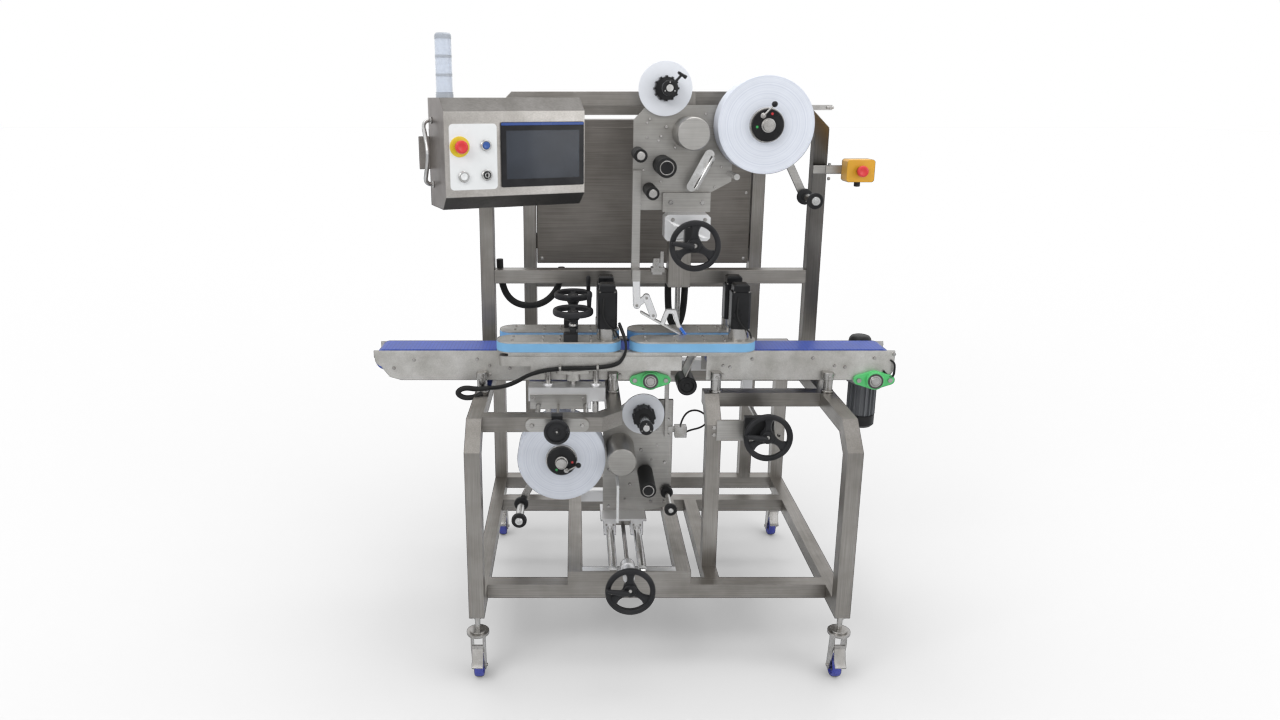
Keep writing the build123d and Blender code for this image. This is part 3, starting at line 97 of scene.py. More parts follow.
def grain_and_reflection_group():
    """Fine lines stretched along one direction, with slow blotches over them; the blotches are partly
    uneven finish and partly painted reflections.
    """
    tree = bpy.data.node_groups.new("Brushed grain", "ShaderNodeTree")
    group_socket(tree, "Stretch", "NodeSocketVector", "INPUT", (4.0, 400.0, 400.0))
    group_socket(tree, "Blotch", "NodeSocketFloat", "INPUT", 5.0)
    group_socket(tree, "Lines", "NodeSocketFloat", "OUTPUT")
    group_socket(tree, "Blotches", "NodeSocketFloat", "OUTPUT")
    nodes, links = tree.nodes, tree.links
    inlet, outlet = nodes.new("NodeGroupInput"), nodes.new("NodeGroupOutput")
    coords = nodes.new("ShaderNodeTexCoord")
    scale = nodes.new("ShaderNodeVectorMath")
    scale.operation = "MULTIPLY"
    links.new(coords.outputs["Object"], scale.inputs[0])
    links.new(inlet.outputs["Stretch"], scale.inputs[1])
    lines = nodes.new("ShaderNodeTexNoise")
    lines.inputs["Scale"].default_value = 1.0
    lines.inputs["Detail"].default_value = 3.0
    links.new(scale.outputs[0], lines.inputs["Vector"])
    blotch = nodes.new("ShaderNodeTexNoise")
    blotch.inputs["Detail"].default_value = 4.0
    blotch.inputs["Roughness"].default_value = 0.6
    links.new(coords.outputs["Object"], blotch.inputs["Vector"])
    links.new(inlet.outputs["Blotch"], blotch.inputs["Scale"])
    links.new(lines.outputs["Fac"], outlet.inputs["Lines"])
    links.new(blotch.outputs["Fac"], outlet.inputs["Blotches"])
    return tree


def moulded_grain_group():
    """Fine even grain of moulded plastic, rubber and cast paint."""
    tree = bpy.data.node_groups.new("Moulded grain", "ShaderNodeTree")
    group_socket(tree, "Scale", "NodeSocketFloat", "INPUT", 900.0)
    group_socket(tree, "Grain", "NodeSocketFloat", "OUTPUT")
    group_socket(tree, "Dust", "NodeSocketFloat", "OUTPUT")
    nodes, links = tree.nodes, tree.links
    inlet, outlet = nodes.new("NodeGroupInput"), nodes.new("NodeGroupOutput")
    coords = nodes.new("ShaderNodeTexCoord")
    grain = nodes.new("ShaderNodeTexNoise")
    grain.inputs["Detail"].default_value = 2.0
    dust = nodes.new("ShaderNodeTexNoise")
    dust.inputs["Scale"].default_value = 14.0
    dust.inputs["Detail"].default_value = 5.0
    links.new(coords.outputs["Object"], grain.inputs["Vector"])
    links.new(coords.outputs["Object"], dust.inputs["Vector"])
    links.new(inlet.outputs["Scale"], grain.inputs["Scale"])
    links.new(grain.outputs["Fac"], outlet.inputs["Grain"])
    links.new(dust.outputs["Fac"], outlet.inputs["Dust"])
    return tree


def shared_group(name, maker):
    """The node group with this name, built the first time that it is asked for."""
    return bpy.data.node_groups.get(name) or maker()


def new_material(name):
    """A new material with its nodes, links and main shader."""
    material = bpy.data.materials.new(name)
    material.use_nodes = True
    tree = material.node_tree
    return material, tree.nodes, tree.links, tree.nodes["Principled BSDF"]


def ramp_between(nodes, links, source, low, high, start=0.35, end=0.65):
    """The colour between low and high that a mask picks."""
    ramp = nodes.new("ShaderNodeValToRGB")
    ramp.color_ramp.elements[0].position = start
    ramp.color_ramp.elements[1].position = end
    ramp.color_ramp.elements[0].color = (*low, 1.0)
    ramp.color_ramp.elements[1].color = (*high, 1.0)
    links.new(source, ramp.inputs["Fac"])
    return ramp.outputs["Color"]


def remap(nodes, links, source, low, high):
    """A mask's middle range, stretched to low and high."""
    ranger = nodes.new("ShaderNodeMapRange")
    ranger.inputs["From Min"].default_value = 0.3
    ranger.inputs["From Max"].default_value = 0.7
    ranger.inputs["To Min"].default_value = low
    ranger.inputs["To Max"].default_value = high
    links.new(source, ranger.inputs["Value"])
    return ranger.outputs["Result"]


def bumped(nodes, links, shader, source, strength, distance):
    """Raises a surface by a mask."""
    bump = nodes.new("ShaderNodeBump")
    bump.inputs["Strength"].default_value = strength
    bump.inputs["Distance"].default_value = distance
    links.new(source, bump.inputs["Height"])
    links.new(bump.outputs["Normal"], shader.inputs["Normal"])


def multiplied(nodes, links, first, second):
    """The product of two colours."""
    mixer = nodes.new("ShaderNodeMix")
    mixer.data_type = "RGBA"
    mixer.blend_type = "MULTIPLY"
    mixer.inputs["Factor"].default_value = 1.0
    links.new(first, mixer.inputs["A"])
    links.new(second, mixer.inputs["B"])
    return mixer.outputs["Result"]


def scaled(colour, factor):
    """A colour made darker or lighter."""
    return tuple(min(1.0, channel * factor) for channel in colour[:3])


# Slow blotches multiply a metal's colour by values between these two: partly uneven finish, partly painted
# reflections
BLOTCH_AND_REFLECTION_DARK = (0.74, 0.73, 0.71)
BLOTCH_AND_REFLECTION_LIGHT = (1.06, 1.06, 1.06)


def metal(name, colour, roughness, along, contrast=0.12, blotch=5.0, fine=420.0):
    """Brushed or turned metal with its grain along X, Y or Z, or even when along is empty, and slow
    blotches of uneven finish and painted reflection.
    """
    material, nodes, links, shader = new_material(name)
    group = nodes.new("ShaderNodeGroup")
    group.node_tree = shared_group("Brushed grain", grain_and_reflection_group)
    stretch = [fine, fine, fine]
    if along:
        stretch["XYZ".index(along)] = 5.0
    group.inputs["Stretch"].default_value = stretch
    group.inputs["Blotch"].default_value = blotch
    dark, light = scaled(colour, 1 - contrast), scaled(colour, 1 + contrast)
    lines = ramp_between(nodes, links, group.outputs["Lines"], dark, light)
    # Slow blotches darken and lighten the colour: painted reflections over an uneven finish
    slow = ramp_between(nodes, links, group.outputs["Blotches"], BLOTCH_AND_REFLECTION_DARK, BLOTCH_AND_REFLECTION_LIGHT, 0.32, 0.66)
    links.new(multiplied(nodes, links, lines, slow), shader.inputs["Base Color"])
    shader.inputs["Metallic"].default_value = 1.0
    uneven = remap(nodes, links, group.outputs["Blotches"], roughness * 1.15, roughness * 0.85)
    links.new(uneven, shader.inputs["Roughness"])
    bumped(nodes, links, shader, group.outputs["Lines"], 0.12, 0.0004)
    return material


# A colour darker than this gets a weaker sheen, so that black stays black
BLACK_BELOW = 0.1


def moulded(name, colour, roughness, grain=900.0, dust=0.12, coat=0.0):
    """Plastic, rubber, paint or paper with a fine grain and faint dust."""
    material, nodes, links, shader = new_material(name)
    group = nodes.new("ShaderNodeGroup")
    group.node_tree = shared_group("Moulded grain", moulded_grain_group)
    group.inputs["Scale"].default_value = grain
    light = tuple(channel + (1.0 - channel) * dust * 0.25 for channel in colour[:3])
    tone = ramp_between(nodes, links, group.outputs["Dust"], scaled(colour, 1 - dust), light)
    links.new(tone, shader.inputs["Base Color"])
    uneven = remap(nodes, links, group.outputs["Dust"], roughness * 0.9, min(1.0, roughness * 1.15))
    links.new(uneven, shader.inputs["Roughness"])
    shader.inputs["Coat Weight"].default_value = coat
    if max(colour) < BLACK_BELOW:
        shader.inputs["Specular IOR Level"].default_value = 0.22
    bumped(nodes, links, shader, group.outputs["Grain"], 0.15, 0.0003)
    return material


def link_belt(name, colour, pitch):
    """Moulded belt with hinge lines across it."""
    material = moulded(name, colour, 0.42)
    nodes, links = material.node_tree.nodes, material.node_tree.links
    shader = nodes["Principled BSDF"]
    coords = nodes.new("ShaderNodeTexCoord")
    split = nodes.new("ShaderNodeSeparateXYZ")
    links.new(coords.outputs["Object"], split.inputs[0])
    wave = nodes.new("ShaderNodeMath")
    wave.operation = "PINGPONG"
    wave.inputs[1].default_value = pitch / 2
    links.new(split.outputs["X"], wave.inputs[0])
    line = nodes.new("ShaderNodeMapRange")
    line.inputs["From Min"].default_value = 0.0
    line.inputs["From Max"].default_value = pitch * 0.09
    links.new(wave.outputs[0], line.inputs["Value"])
    mixer = nodes.new("ShaderNodeMix")
    mixer.data_type = "RGBA"
    base = shader.inputs["Base Color"].links[0].from_socket
    mixer.inputs["A"].default_value = (*scaled(colour, 0.45), 1.0)
    links.new(line.outputs["Result"], mixer.inputs["Factor"])
    links.new(base, mixer.inputs["B"])
    links.new(mixer.outputs["Result"], shader.inputs["Base Color"])
    bumped(nodes, links, shader, line.outputs["Result"], 0.6, 0.001)
    return material


def label_stock(name, colour, centre):
    """Side of a wound label roll: fine rings of paper edges around its centre."""
    material = moulded(name, colour, 0.55, dust=0.05)
    nodes, links = material.node_tree.nodes, material.node_tree.links
    shader = nodes["Principled BSDF"]
    coords = nodes.new("ShaderNodeTexCoord")
    shift = nodes.new("ShaderNodeVectorMath")
    shift.operation = "SUBTRACT"
    shift.inputs[1].default_value = centre
    flat = nodes.new("ShaderNodeVectorMath")
    flat.operation = "MULTIPLY"
    flat.inputs[1].default_value = (1.0, 0.0, 1.0)
    reach = nodes.new("ShaderNodeVectorMath")
    reach.operation = "LENGTH"
    links.new(coords.outputs["Object"], shift.inputs[0])
    links.new(shift.outputs[0], flat.inputs[0])
    links.new(flat.outputs[0], reach.inputs[0])
    rings = nodes.new("ShaderNodeTexNoise")
    rings.noise_dimensions = "1D"
    rings.inputs["Scale"].default_value = 260.0
    rings.inputs["Detail"].default_value = 3.0
    links.new(reach.outputs["Value"], rings.inputs["W"])
    base = shader.inputs["Base Color"].links[0].from_socket
    tint = ramp_between(nodes, links, rings.outputs["Fac"], (0.86, 0.87, 0.90), (1.0, 1.0, 1.0), 0.3, 0.6)
    links.new(multiplied(nodes, links, base, tint), shader.inputs["Base Color"])
    bumped(nodes, links, shader, rings.outputs["Fac"], 0.25, 0.0006)
    return material


def lens(name, colour):
    """Clear ribbed lens of the stack light."""
    material, nodes, links, shader = new_material(name)
    shader.inputs["Base Color"].default_value = (*colour, 1.0)
    shader.inputs["Roughness"].default_value = 0.12
    shader.inputs["Transmission Weight"].default_value = 0.35
    shader.inputs["IOR"].default_value = 1.4
    coords = nodes.new("ShaderNodeTexCoord")
    wave = nodes.new("ShaderNodeTexWave")
    wave.bands_direction = "Z"
    wave.inputs["Scale"].default_value = 60.0
    links.new(coords.outputs["Object"], wave.inputs["Vector"])
    bumped(nodes, links, shader, wave.outputs["Fac"], 0.15, 0.0005)
    return material


def dark_glass(name, colour):
    """Touch screen glass with a slow sheen painted into its colour."""
    material, nodes, links, shader = new_material(name)
    coords = nodes.new("ShaderNodeTexCoord")
    noise = nodes.new("ShaderNodeTexNoise")
    noise.inputs["Scale"].default_value = 9.0
    links.new(coords.outputs["Object"], noise.inputs["Vector"])
    # Painted sheen: slow noise makes the glass colour lighter and darker
    sheen = ramp_between(nodes, links, noise.outputs["Fac"], scaled(colour, 0.85), scaled(colour, 1.15))
    links.new(sheen, shader.inputs["Base Color"])
    shader.inputs["Roughness"].default_value = 0.16
    shader.inputs["Coat Weight"].default_value = 0.2
    return material


def chosen(key):
    """A colour that the user can change in the settings."""
    return tuple(getattr(settings().finish, key))


def chosen_mm(key):
    """A size that the user can change in the settings, in millimetres."""
    return getattr(settings().sizes, key) * 1000.0


# Distance between the hinge lines of the conveyor belts, in metres
BELT_PITCH = 0.0127

FINISHES = {
    "steel_x": lambda name: metal(name, chosen("steel"), 0.34, "X"),
    "steel_y": lambda name: metal(name, chosen("steel"), 0.34, "Y"),
    "steel_z": lambda name: metal(name, chosen("steel"), 0.34, "Z"),
    "sheet_steel": lambda name: metal(name, chosen("sheet"), 0.38, "X", 0.10, 4.0),
    "cabinet_steel": lambda name: metal(name, chosen("cabinet"), 0.42, "X", 0.14, 3.0, 260.0),
    # The control box's front, slopes and sides are one steel: the slopes and sides get darker copies of it,
    # which is painted shade
    "panel_steel": lambda name: metal(name, (0.46, 0.44, 0.42), 0.34, "X", 0.10, 6.0),
    "slope_steel": lambda name: metal(name, (0.13, 0.125, 0.12), 0.32, "X", 0.12, 6.0),
    "side_steel": lambda name: metal(name, (0.27, 0.245, 0.235), 0.36, "Z", 0.14, 6.0),
    "bead_blasted": lambda name: metal(name, (0.56, 0.55, 0.53), 0.46, "", 0.16, 9.0, 700.0),
    "aluminium": lambda name: metal(name, chosen("aluminium"), 0.4, "X", 0.05, 6.0),
    "turned_steel": lambda name: metal(name, (0.46, 0.45, 0.44), 0.24, "", 0.08, 20.0, 900.0),
    "bright_steel": lambda name: metal(name, (0.60, 0.60, 0.60), 0.16, "", 0.05, 30.0),
    "dark_steel": lambda name: metal(name, (0.10, 0.10, 0.10), 0.3, "", 0.2, 12.0),
    "cast_green": lambda name: moulded(name, chosen("bearing_green"), 0.38, grain=260.0, coat=0.3),
    "motor_paint": lambda name: moulded(name, (0.13, 0.135, 0.145), 0.45, grain=300.0, dust=0.06),
    "cast_grey": lambda name: moulded(name, (0.27, 0.275, 0.28), 0.5, grain=300.0, dust=0.08),
    "black_plastic": lambda name: moulded(name, (0.012, 0.012, 0.013), 0.42, dust=0.05),
    "black_satin": lambda name: moulded(name, (0.008, 0.008, 0.009), 0.28, dust=0.04),
    "black_rubber": lambda name: moulded(name, (0.012, 0.012, 0.012), 0.62, grain=500.0, dust=0.05),
    "handwheel_black": lambda name: moulded(name, (0.013, 0.013, 0.015), 0.38, dust=0.05),
    "belt_links": lambda name: link_belt(name, chosen("belt_blue"), BELT_PITCH),
    "grip_foam": lambda name: moulded(name, chosen("grip_blue"), 0.6, grain=600.0, dust=0.06),
    "wheel_blue": lambda name: moulded(name, (0.035, 0.05, 0.36), 0.45),
    "white_card": lambda name: moulded(name, (0.88, 0.90, 0.95), 0.4, dust=0.03),
    "white_plastic": lambda name: moulded(name, (0.85, 0.86, 0.86), 0.25, dust=0.02),
    "red_plastic": lambda name: moulded(name, (0.72, 0.02, 0.025), 0.3, dust=0.06, coat=0.2),
    "yellow_plastic": lambda name: moulded(name, (0.80, 0.60, 0.02), 0.35, dust=0.06),
    "box_yellow": lambda name: moulded(name, (0.78, 0.40, 0.015), 0.35, dust=0.06),
    "blue_plastic": lambda name: moulded(name, (0.02, 0.09, 0.36), 0.28, dust=0.05, coat=0.2),
    "wiper_blue": lambda name: moulded(name, (0.01, 0.16, 0.72), 0.35, dust=0.05),
    "green_dot": lambda name: moulded(name, (0.03, 0.45, 0.10), 0.3),
    "lamp_lens": lambda name: lens(name, (0.76, 0.82, 0.93)),
    "lamp_ring": lambda name: moulded(name, (0.42, 0.45, 0.50), 0.2, dust=0.05),
    "screen_glass": lambda name: dark_glass(name, (0.026, 0.034, 0.05)),
    "screen_frame": lambda name: moulded(name, (0.008, 0.008, 0.01), 0.22, dust=0.05),
    "screen_stripe": lambda name: moulded(name, (0.015, 0.06, 0.27), 0.25, dust=0.05),
}


def finish(name):
    """The named material, made the first time that it is asked for."""
    return bpy.data.materials.get(name) or FINISHES[name](name)


# Mesh building


def new_piece(name, bm, body, materials, nodes=(), bevel=0.0, smooth=35.0):
    """Turns a bmesh into a piece that rides on a body."""
    bmesh.ops.recalc_face_normals(bm, faces=bm.faces)
    mesh = bpy.data.meshes.new(name)
    bm.to_mesh(mesh)
    bm.free()
    piece = bpy.data.objects.new(name, mesh)
    bpy.context.scene.collection.objects.link(piece)
    for material in materials:
        mesh.materials.append(finish(material) if isinstance(material, str) else material)
    for polygon in mesh.polygons:
        polygon.use_smooth = True
    if bevel:
        modifier = piece.modifiers.new("Edges", "BEVEL")
        modifier.width = bevel / 1000.0
        modifier.segments = 2
        modifier.limit_method = "ANGLE"
        modifier.angle_limit = math.radians(38.0)
        modifier.use_clamp_overlap = True
        modifier.harden_normals = True
    mesh.set_sharp_from_angle(angle=math.radians(smooth))
    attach(piece, body)
    if nodes:
        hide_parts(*nodes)
    return piece


def islands(bm):
    """Groups of faces joined by clean edges: one group for each tube or block."""
    seen, groups = set(), []
    for start in bm.faces:
        if start in seen:
            continue
        stack, group = [start], []
        seen.add(start)
        while stack:
            face = stack.pop()
            group.append(face)
            for edge in face.edges:
                if len(edge.link_faces) != 2:
                    continue
                for other in edge.link_faces:
                    if other not in seen:
                        seen.add(other)
                        stack.append(other)
        groups.append(group)
    return groups


def span(group):
    """Lowest and highest corner of a group of faces, in datum millimetres."""
    points = [(vert.co - DATUM) * 1000.0 for face in group for vert in face.verts]
    low = Vector([min(p[i] for p in points) for i in range(3)])
    high = Vector([max(p[i] for p in points) for i in range(3)])
    return low, high


# Walls between these two, in millimetres, belong to hollow tubes and boxes
SKIN_THINNEST = 1.4
SKIN_THICKEST = 5.6


def inside(inner, outer):
    """True for the inner skin of a hollow tube or box: a few millimetres in on every side."""
    steps = [inner[0][i] - outer[0][i] for i in range(3)] + [outer[1][i] - inner[1][i] for i in range(3)]
    return SKIN_THINNEST < min(steps) and max(steps) < SKIN_THICKEST


def one_material(low, high):
    """Rule of a node that has one finish all over."""
    return 0


def cad_copy(node, body, rule, materials, bevel=1.2, skip=None):
    """A welded, bevelled copy of a CAD node; rule(low, high) picks each block's material."""
    bm = bmesh.new()
    bm.from_mesh(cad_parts[node].data)
    bmesh.ops.remove_doubles(bm, verts=bm.verts, dist=0.00001)
    bmesh.ops.dissolve_limit(bm, angle_limit=0.01, verts=bm.verts, edges=bm.edges)
    gone = []
    groups = islands(bm)
    spans = [span(group) for group in groups]
    for group, (low, high) in zip(groups, spans):
        if any(inside((low, high), other) for other in spans) or (skip and skip(low, high)):
            gone += group
            continue
        index = rule(low, high)
        for face in group:
            face.material_index = index
    bmesh.ops.delete(bm, geom=gone, context="FACES")
    return new_piece(node + "_dressed", bm, body, materials, (node,), bevel)


def along_longest(low, high):
    """Index of the axis along which a block is longest."""
    size = high - low
    return max(range(3), key=lambda i: size[i])


AXIS_FRAMES = {
    "X": Matrix(((0, 0, 1), (1, 0, 0), (0, 1, 0))),
    "Y": Matrix(((1, 0, 0), (0, 0, 1), (0, 1, 0))),
    "Z": Matrix(((1, 0, 0), (0, 1, 0), (0, 0, 1))),
}


def turned(bm, profile, origin, axis="Y", segments=64, index=0):
    """Revolves a closed profile of (radius, height) millimetres about an axis through origin."""
    turn = axis if isinstance(axis, Matrix) else AXIS_FRAMES[axis]
    rings = []
    for step in range(segments):
        angle = 2 * math.pi * step / segments
        ring = []
        for radius, height in profile:
            local = Vector((radius * math.cos(angle), radius * math.sin(angle), height)) / 1000.0
            ring.append(bm.verts.new(origin + turn @ local))
        rings.append(ring)
    for a, b in zip(rings, rings[1:] + rings[:1]):
        for i in range(len(profile)):
            j = (i + 1) % len(profile)
            corners = [a[i], a[j], b[j], b[i]]
            flat = []
            for corner in corners:
                if all((corner.co - other.co).length > 1e-7 for other in flat):
                    flat.append(corner)
            if len(flat) > 2:
                bm.faces.new(flat).material_index = index
    bmesh.ops.remove_doubles(bm, verts=[v for ring in rings for v in ring], dist=1e-7)


def solid_profile(radius, low, high, edge=1.0):
    """Profile of a plain disc or rod with eased rims."""
    return [
        (0, low), (radius - edge, low), (radius, low + edge),
        (radius, high - edge), (radius - edge, high), (0, high),
    ]


def ring_profile(outer, inner, low, high, edge=1.0):
    """Profile of a tube or ring with eased rims."""
    return [
        (inner, low + edge), (inner + edge, low), (outer - edge, low), (outer, low + edge),
        (outer, high - edge), (outer - edge, high), (inner + edge, high), (inner, high - edge),
    ]


def placed(x, y, z, turn, origin):
    """A point in the row frame, from datum millimetres or from a turned frame at origin."""
    return at(x, y, z) if turn is None else origin + turn @ (Vector((x, y, z)) / 1000.0)


def block(bm, low, high, index=0, turn=None, origin=None):
    """A box between two datum corners, or in a turned local frame."""
    verts = []
    for x in (low[0], high[0]):
        for y in (low[1], high[1]):
            for z in (low[2], high[2]):
                verts.append(bm.verts.new(placed(x, y, z, turn, origin)))
    for ids in ((0, 1, 3, 2), (4, 6, 7, 5), (0, 4, 5, 1), (2, 3, 7, 6), (0, 2, 6, 4), (1, 5, 7, 3)):
        bm.faces.new([verts[i] for i in ids]).material_index = index


def slab(bm, outline, y0, y1, index=0, turn=None, origin=None):
    """A plate with an outline of (x, z) millimetres between two depths."""
    front = [bm.verts.new(placed(x, y0, z, turn, origin)) for x, z in outline]
    back = [bm.verts.new(placed(x, y1, z, turn, origin)) for x, z in outline]
    bm.faces.new(front).material_index = index
    bm.faces.new(list(reversed(back))).material_index = index
    count = len(outline)
    for i in range(count):
        j = (i + 1) % count
        bm.faces.new([front[i], back[i], back[j], front[j]]).material_index = index


def rounded(x0, x1, z0, z1, radius, steps=8):
    """Outline of a rectangle with round corners."""
    points = []
    left, right, low, high = x0 + radius, x1 - radius, z0 + radius, z1 - radius
    for quarter, (cx, cz) in enumerate(((right, high), (left, high), (left, low), (right, low))):
        for i in range(steps + 1):
            angle = math.radians(90 * quarter + 90 * i / steps)
            points.append((cx + radius * math.cos(angle), cz + radius * math.sin(angle)))
    return points


def hex_bolt(bm, origin, axis, size):
    """Hexagon head with a washer under it."""
    head = [(0, 1.4), (size * 0.92, 1.4), (size, 2.2), (size, 5.6), (size * 0.86, 6.6), (0, 6.6)]
    turned(bm, ring_profile(size * 1.15, size * 0.3, 0, 1.4, 0.4), origin, axis, 20)
    turned(bm, head, origin, axis, 6)


def cap_screw(bm, origin, axis, size):
    """Round cap screw with a recess in its head."""
    profile = [
        (0, 2.0), (size * 0.5, 2.0), (size * 0.5, size), (size * 0.85, size),
        (size, size * 0.8), (size, 0), (0, 0),
    ]
    turned(bm, profile, origin, axis, 18)


def facing(way):
    """Axis frame for fasteners: its Z looks along way."""
    return Vector(way).to_track_quat("Z", "Y").to_matrix()


FRONTWARD = facing((0, -1, 0))
BACKWARD = facing((0, 1, 0))
RIGHTWARD = facing((1, 0, 0))
UPWARD = facing((0, 0, 1))


def tube_curve(name, points, radius, material, body, nodes=()):
    """A round cable along a smooth line of datum points."""
    curve = bpy.data.curves.new(name, "CURVE")
    curve.dimensions = "3D"
    curve.bevel_depth = radius / 1000.0
    curve.bevel_resolution = 4
    curve.use_fill_caps = True
    spline = curve.splines.new("NURBS")
    spline.points.add(len(points) - 1)
    for point, place in zip(spline.points, points):
        point.co = (*at(*place), 1.0)
    spline.order_u = 3
    spline.use_endpoint_u = True
    spline.resolution_u = 12
    curve.materials.append(finish(material))
    piece = bpy.data.objects.new(name, curve)
    bpy.context.scene.collection.objects.link(piece)
    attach(piece, body)
    if nodes:
        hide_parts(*nodes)
    return piece


# Frames, cabinet and casters


STEELS = ["steel_x", "steel_y", "steel_z", "turned_steel"]


def tube_rule(low, high):
    """Turned rods apart; each tube has its grain along its length."""
    size = high - low
    if max(size.x, size.y) < 36 and size.z > 36:
        return 3
    return along_longest(low, high)


def build_bench():
    """Bench frame with its bolts and the collars of the bed posts."""
    cad_copy("lower_frame", "frame", tube_rule, STEELS, chosen_mm("tube_edge"))
    bm = bmesh.new()
    for x in (352, 725):
        hex_bolt(bm, at(x, 200, 295), UPWARD, 7.5)
    for z in (797, 823):
        hex_bolt(bm, at(831, 255, z), FRONTWARD, 7)
    for x, y, way in [(x, 363, -1) for x in POSTS_X] + [(x, 527, 1) for x in REAR_POSTS_X]:
        turned(bm, ring_profile(21, 16.9, 917, 925, 1.5), at(x, y, 0), "Z", 40)
        turned(bm, ring_profile(20, 16.9, 962, 990, 1.5), at(x, y, 0), "Z", 40)
        cap_screw(bm, at(x, y + 19 * way, 976), facing((0, way, 0)), 5)
    new_piece("bench_fasteners", bm, "frame", ["turned_steel"])


def build_upper_frame():
    """Upper frame with its bracket, fitting blocks and screws."""
    cad_copy("upper_frame", "frame", tube_rule, STEELS, chosen_mm("tube_edge"))
    bm = bmesh.new()
    for z in (1640, 1690):
        hex_bolt(bm, at(1266, 625, z), RIGHTWARD, 5)
    block(bm, (1168, 694, 1880), (1284, 700, 1898))
    hex_bolt(bm, at(1276, 694, 1889), FRONTWARD, 6)
    turned(bm, solid_profile(5, 0, 26, 1), at(1262, 692, 1889), "X", 20)
    block(bm, (633, 606, 1299), (682, 636, 1316))
    block(bm, (640, 600, 1316), (662, 630, 1352))
    block(bm, (666, 610, 1316), (678, 628, 1376))
    for z in (1328, 1344):
        cap_screw(bm, at(651, 600, z), FRONTWARD, 4)
    block(bm, (640, 636, 1285), (676, 650, 1312))
    new_piece("upper_frame_fasteners", bm, "frame", ["turned_steel"])


def build_cabinet():
    """Rear cabinet with its screws, each with a thin dark bar of painted shade for its slot."""
    cad_copy("rear_cabinet", "frame", one_material, ["cabinet_steel"], 1.6)
    bm = bmesh.new()
    for x in (215, 1051):
        for z in (1277, 1547, 1818):
            turned(bm, solid_profile(6, 0, 3, 1.2), at(x, 1038, z), FRONTWARD, 20)
            # A thin dark bar on each head stands for the slot: painted shade of a recess that is not cut
            block(bm, (x - 4, 1034.7, z - 0.7), (x + 4, 1035.2, z + 0.7), 1)
    new_piece("cabinet_screws", bm, "frame", ["turned_steel", "dark_steel"])


def build_caster(corner, x, y):
    """One caster: the fork from the CAD and a wheel with tyre, hub and bearing."""
    cad_copy("caster_fork_" + corner, "caster_fork_" + corner, one_material,
             ["turned_steel"], 1.0)
    bm = bmesh.new()
    centre = at(x, y + 22, 37.5)
    tyre = [(30, -13), (34, -15), (36.4, -12), (37.5, -7), (37.5, 7), (36.4, 12), (34, 15), (30, 13)]
    rim = [(12, -9), (29, -9), (30.5, -12), (30.5, 12), (29, 9), (12, 9)]
    turned(bm, tyre, centre, "X", 72, 0)
    turned(bm, rim, centre, "X", 48, 0)
    turned(bm, ring_profile(12, 5.1, -17.5, 17.5, 1), centre, "X", 32, 1)
    turned(bm, ring_profile(20, 12, -10.5, 10.5, 1), centre, "X", 40, 2)
    name = "caster_wheel_" + corner
    materials = ["wheel_blue", "turned_steel", "black_plastic"]
    new_piece(name + "_dressed", bm, name, materials, (name,))


def build_casters():
    """Caster stems and the four casters."""
    cad_copy("caster_stems", "frame", one_material, ["turned_steel"], 0.8)
    for corner, x, y in (("fl", 25, 25), ("fr", 1241, 25), ("rl", 25, 1063), ("rr", 1241, 1063)):
        build_caster(corner, x, y)


# Conveyors and their drive


def build_conveyors():
    """Beds, belts with the nose pulled in, and the side bolts."""
    cad_copy("conveyor_beds", "frame", one_material, ["bead_blasted"], 1.0)
    belts = cad_copy("conveyor_belts", "frame", one_material, ["belt_links"], 1.5)
    nose, tangent, pull = at(-363, 0, 0).x, at(-300, 0, 0).x, 0.011
    for vert in belts.data.vertices:
        if vert.co.x < tangent:
            vert.co.x += pull * (tangent - vert.co.x) / (tangent - nose)
    bm = bmesh.new()
    side_bolts = (
        (-287, 999), (-215, 1029), (7, 1032), (122, 999), (300, 1032), (620, 1032),
        (898, 1003), (975, 1032), (1189, 1036), (1304, 1003), (1405, 1036), (1472, 1050),
    )
    for x, z in side_bolts:
        hex_bolt(bm, at(x, BED_FRONT_Y, z), FRONTWARD, 5.5)
        hex_bolt(bm, at(x, BED_REAR_Y, z), BACKWARD, 5.5)
    for x in POSTS_X:
        for z in (974, 1008):
            hex_bolt(bm, at(x + 26, BED_FRONT_Y, z), FRONTWARD, 5)
    new_piece("bed_fasteners", bm, "frame", ["turned_steel"])


def build_drives():
    """Flange bearings, drive rollers and the gear motor with its cap."""
    def bearing_rule(low, high):
        return 0 if (high - low).x > 60 else 1
    cad_copy("bed_bearings", "frame", bearing_rule, ["cast_green", "turned_steel"], 2.5)
    for name, x, rear in (("infeed_drive_roller", 617, 542), ("outfeed_drive_roller", 1407, 600)):
        bm = bmesh.new()
        turned(bm, solid_profile(15, 348, rear, 1.5), at(x, 0, DRIVE_Z), "Y", 40, 0)
        turned(bm, solid_profile(35, 387, 503, 2), at(x, 0, DRIVE_Z), "Y", 64, 1)
        new_piece(name + "_dressed", bm, name, ["turned_steel", "black_plastic"], (name,))

        bm = bmesh.new()
        turned(bm, ring_profile(27, 21, 351, 354.5, 0.8), at(x, 0, DRIVE_Z), "Y", 48, 1)
        turned(bm, ring_profile(21, 15.2, 350, 354.5, 0.8), at(x, 0, DRIVE_Z), "Y", 48, 0)
        new_piece(name + "_insert", bm, "frame", ["turned_steel", "dark_steel"])

    def motor_rule(low, high):
        if low.z > 860:
            return 0
        return 2 if high.z < 775 else 1
    bm = bmesh.new()
    cap = [(0, 1030), (40, 1030), (40, 1052), (38, 1062), (32, 1070), (24, 1073), (0, 1073)]
    turned(bm, cap, at(1407, 555, 0), "Z", 56)
    new_piece("gearmotor_cap", bm, "frame", ["black_plastic"])
    materials = ["cast_grey", "motor_paint", "black_plastic"]
    cad_copy("gearmotor", "frame", motor_rule, materials, 2.0)


# Guides and carriages


def rod_rule(low, high):
    """Long slim rods are bright, and the rest is aluminium."""
    size = high - low
    return 0 if size.y > 200 and size.x < 40 else 1


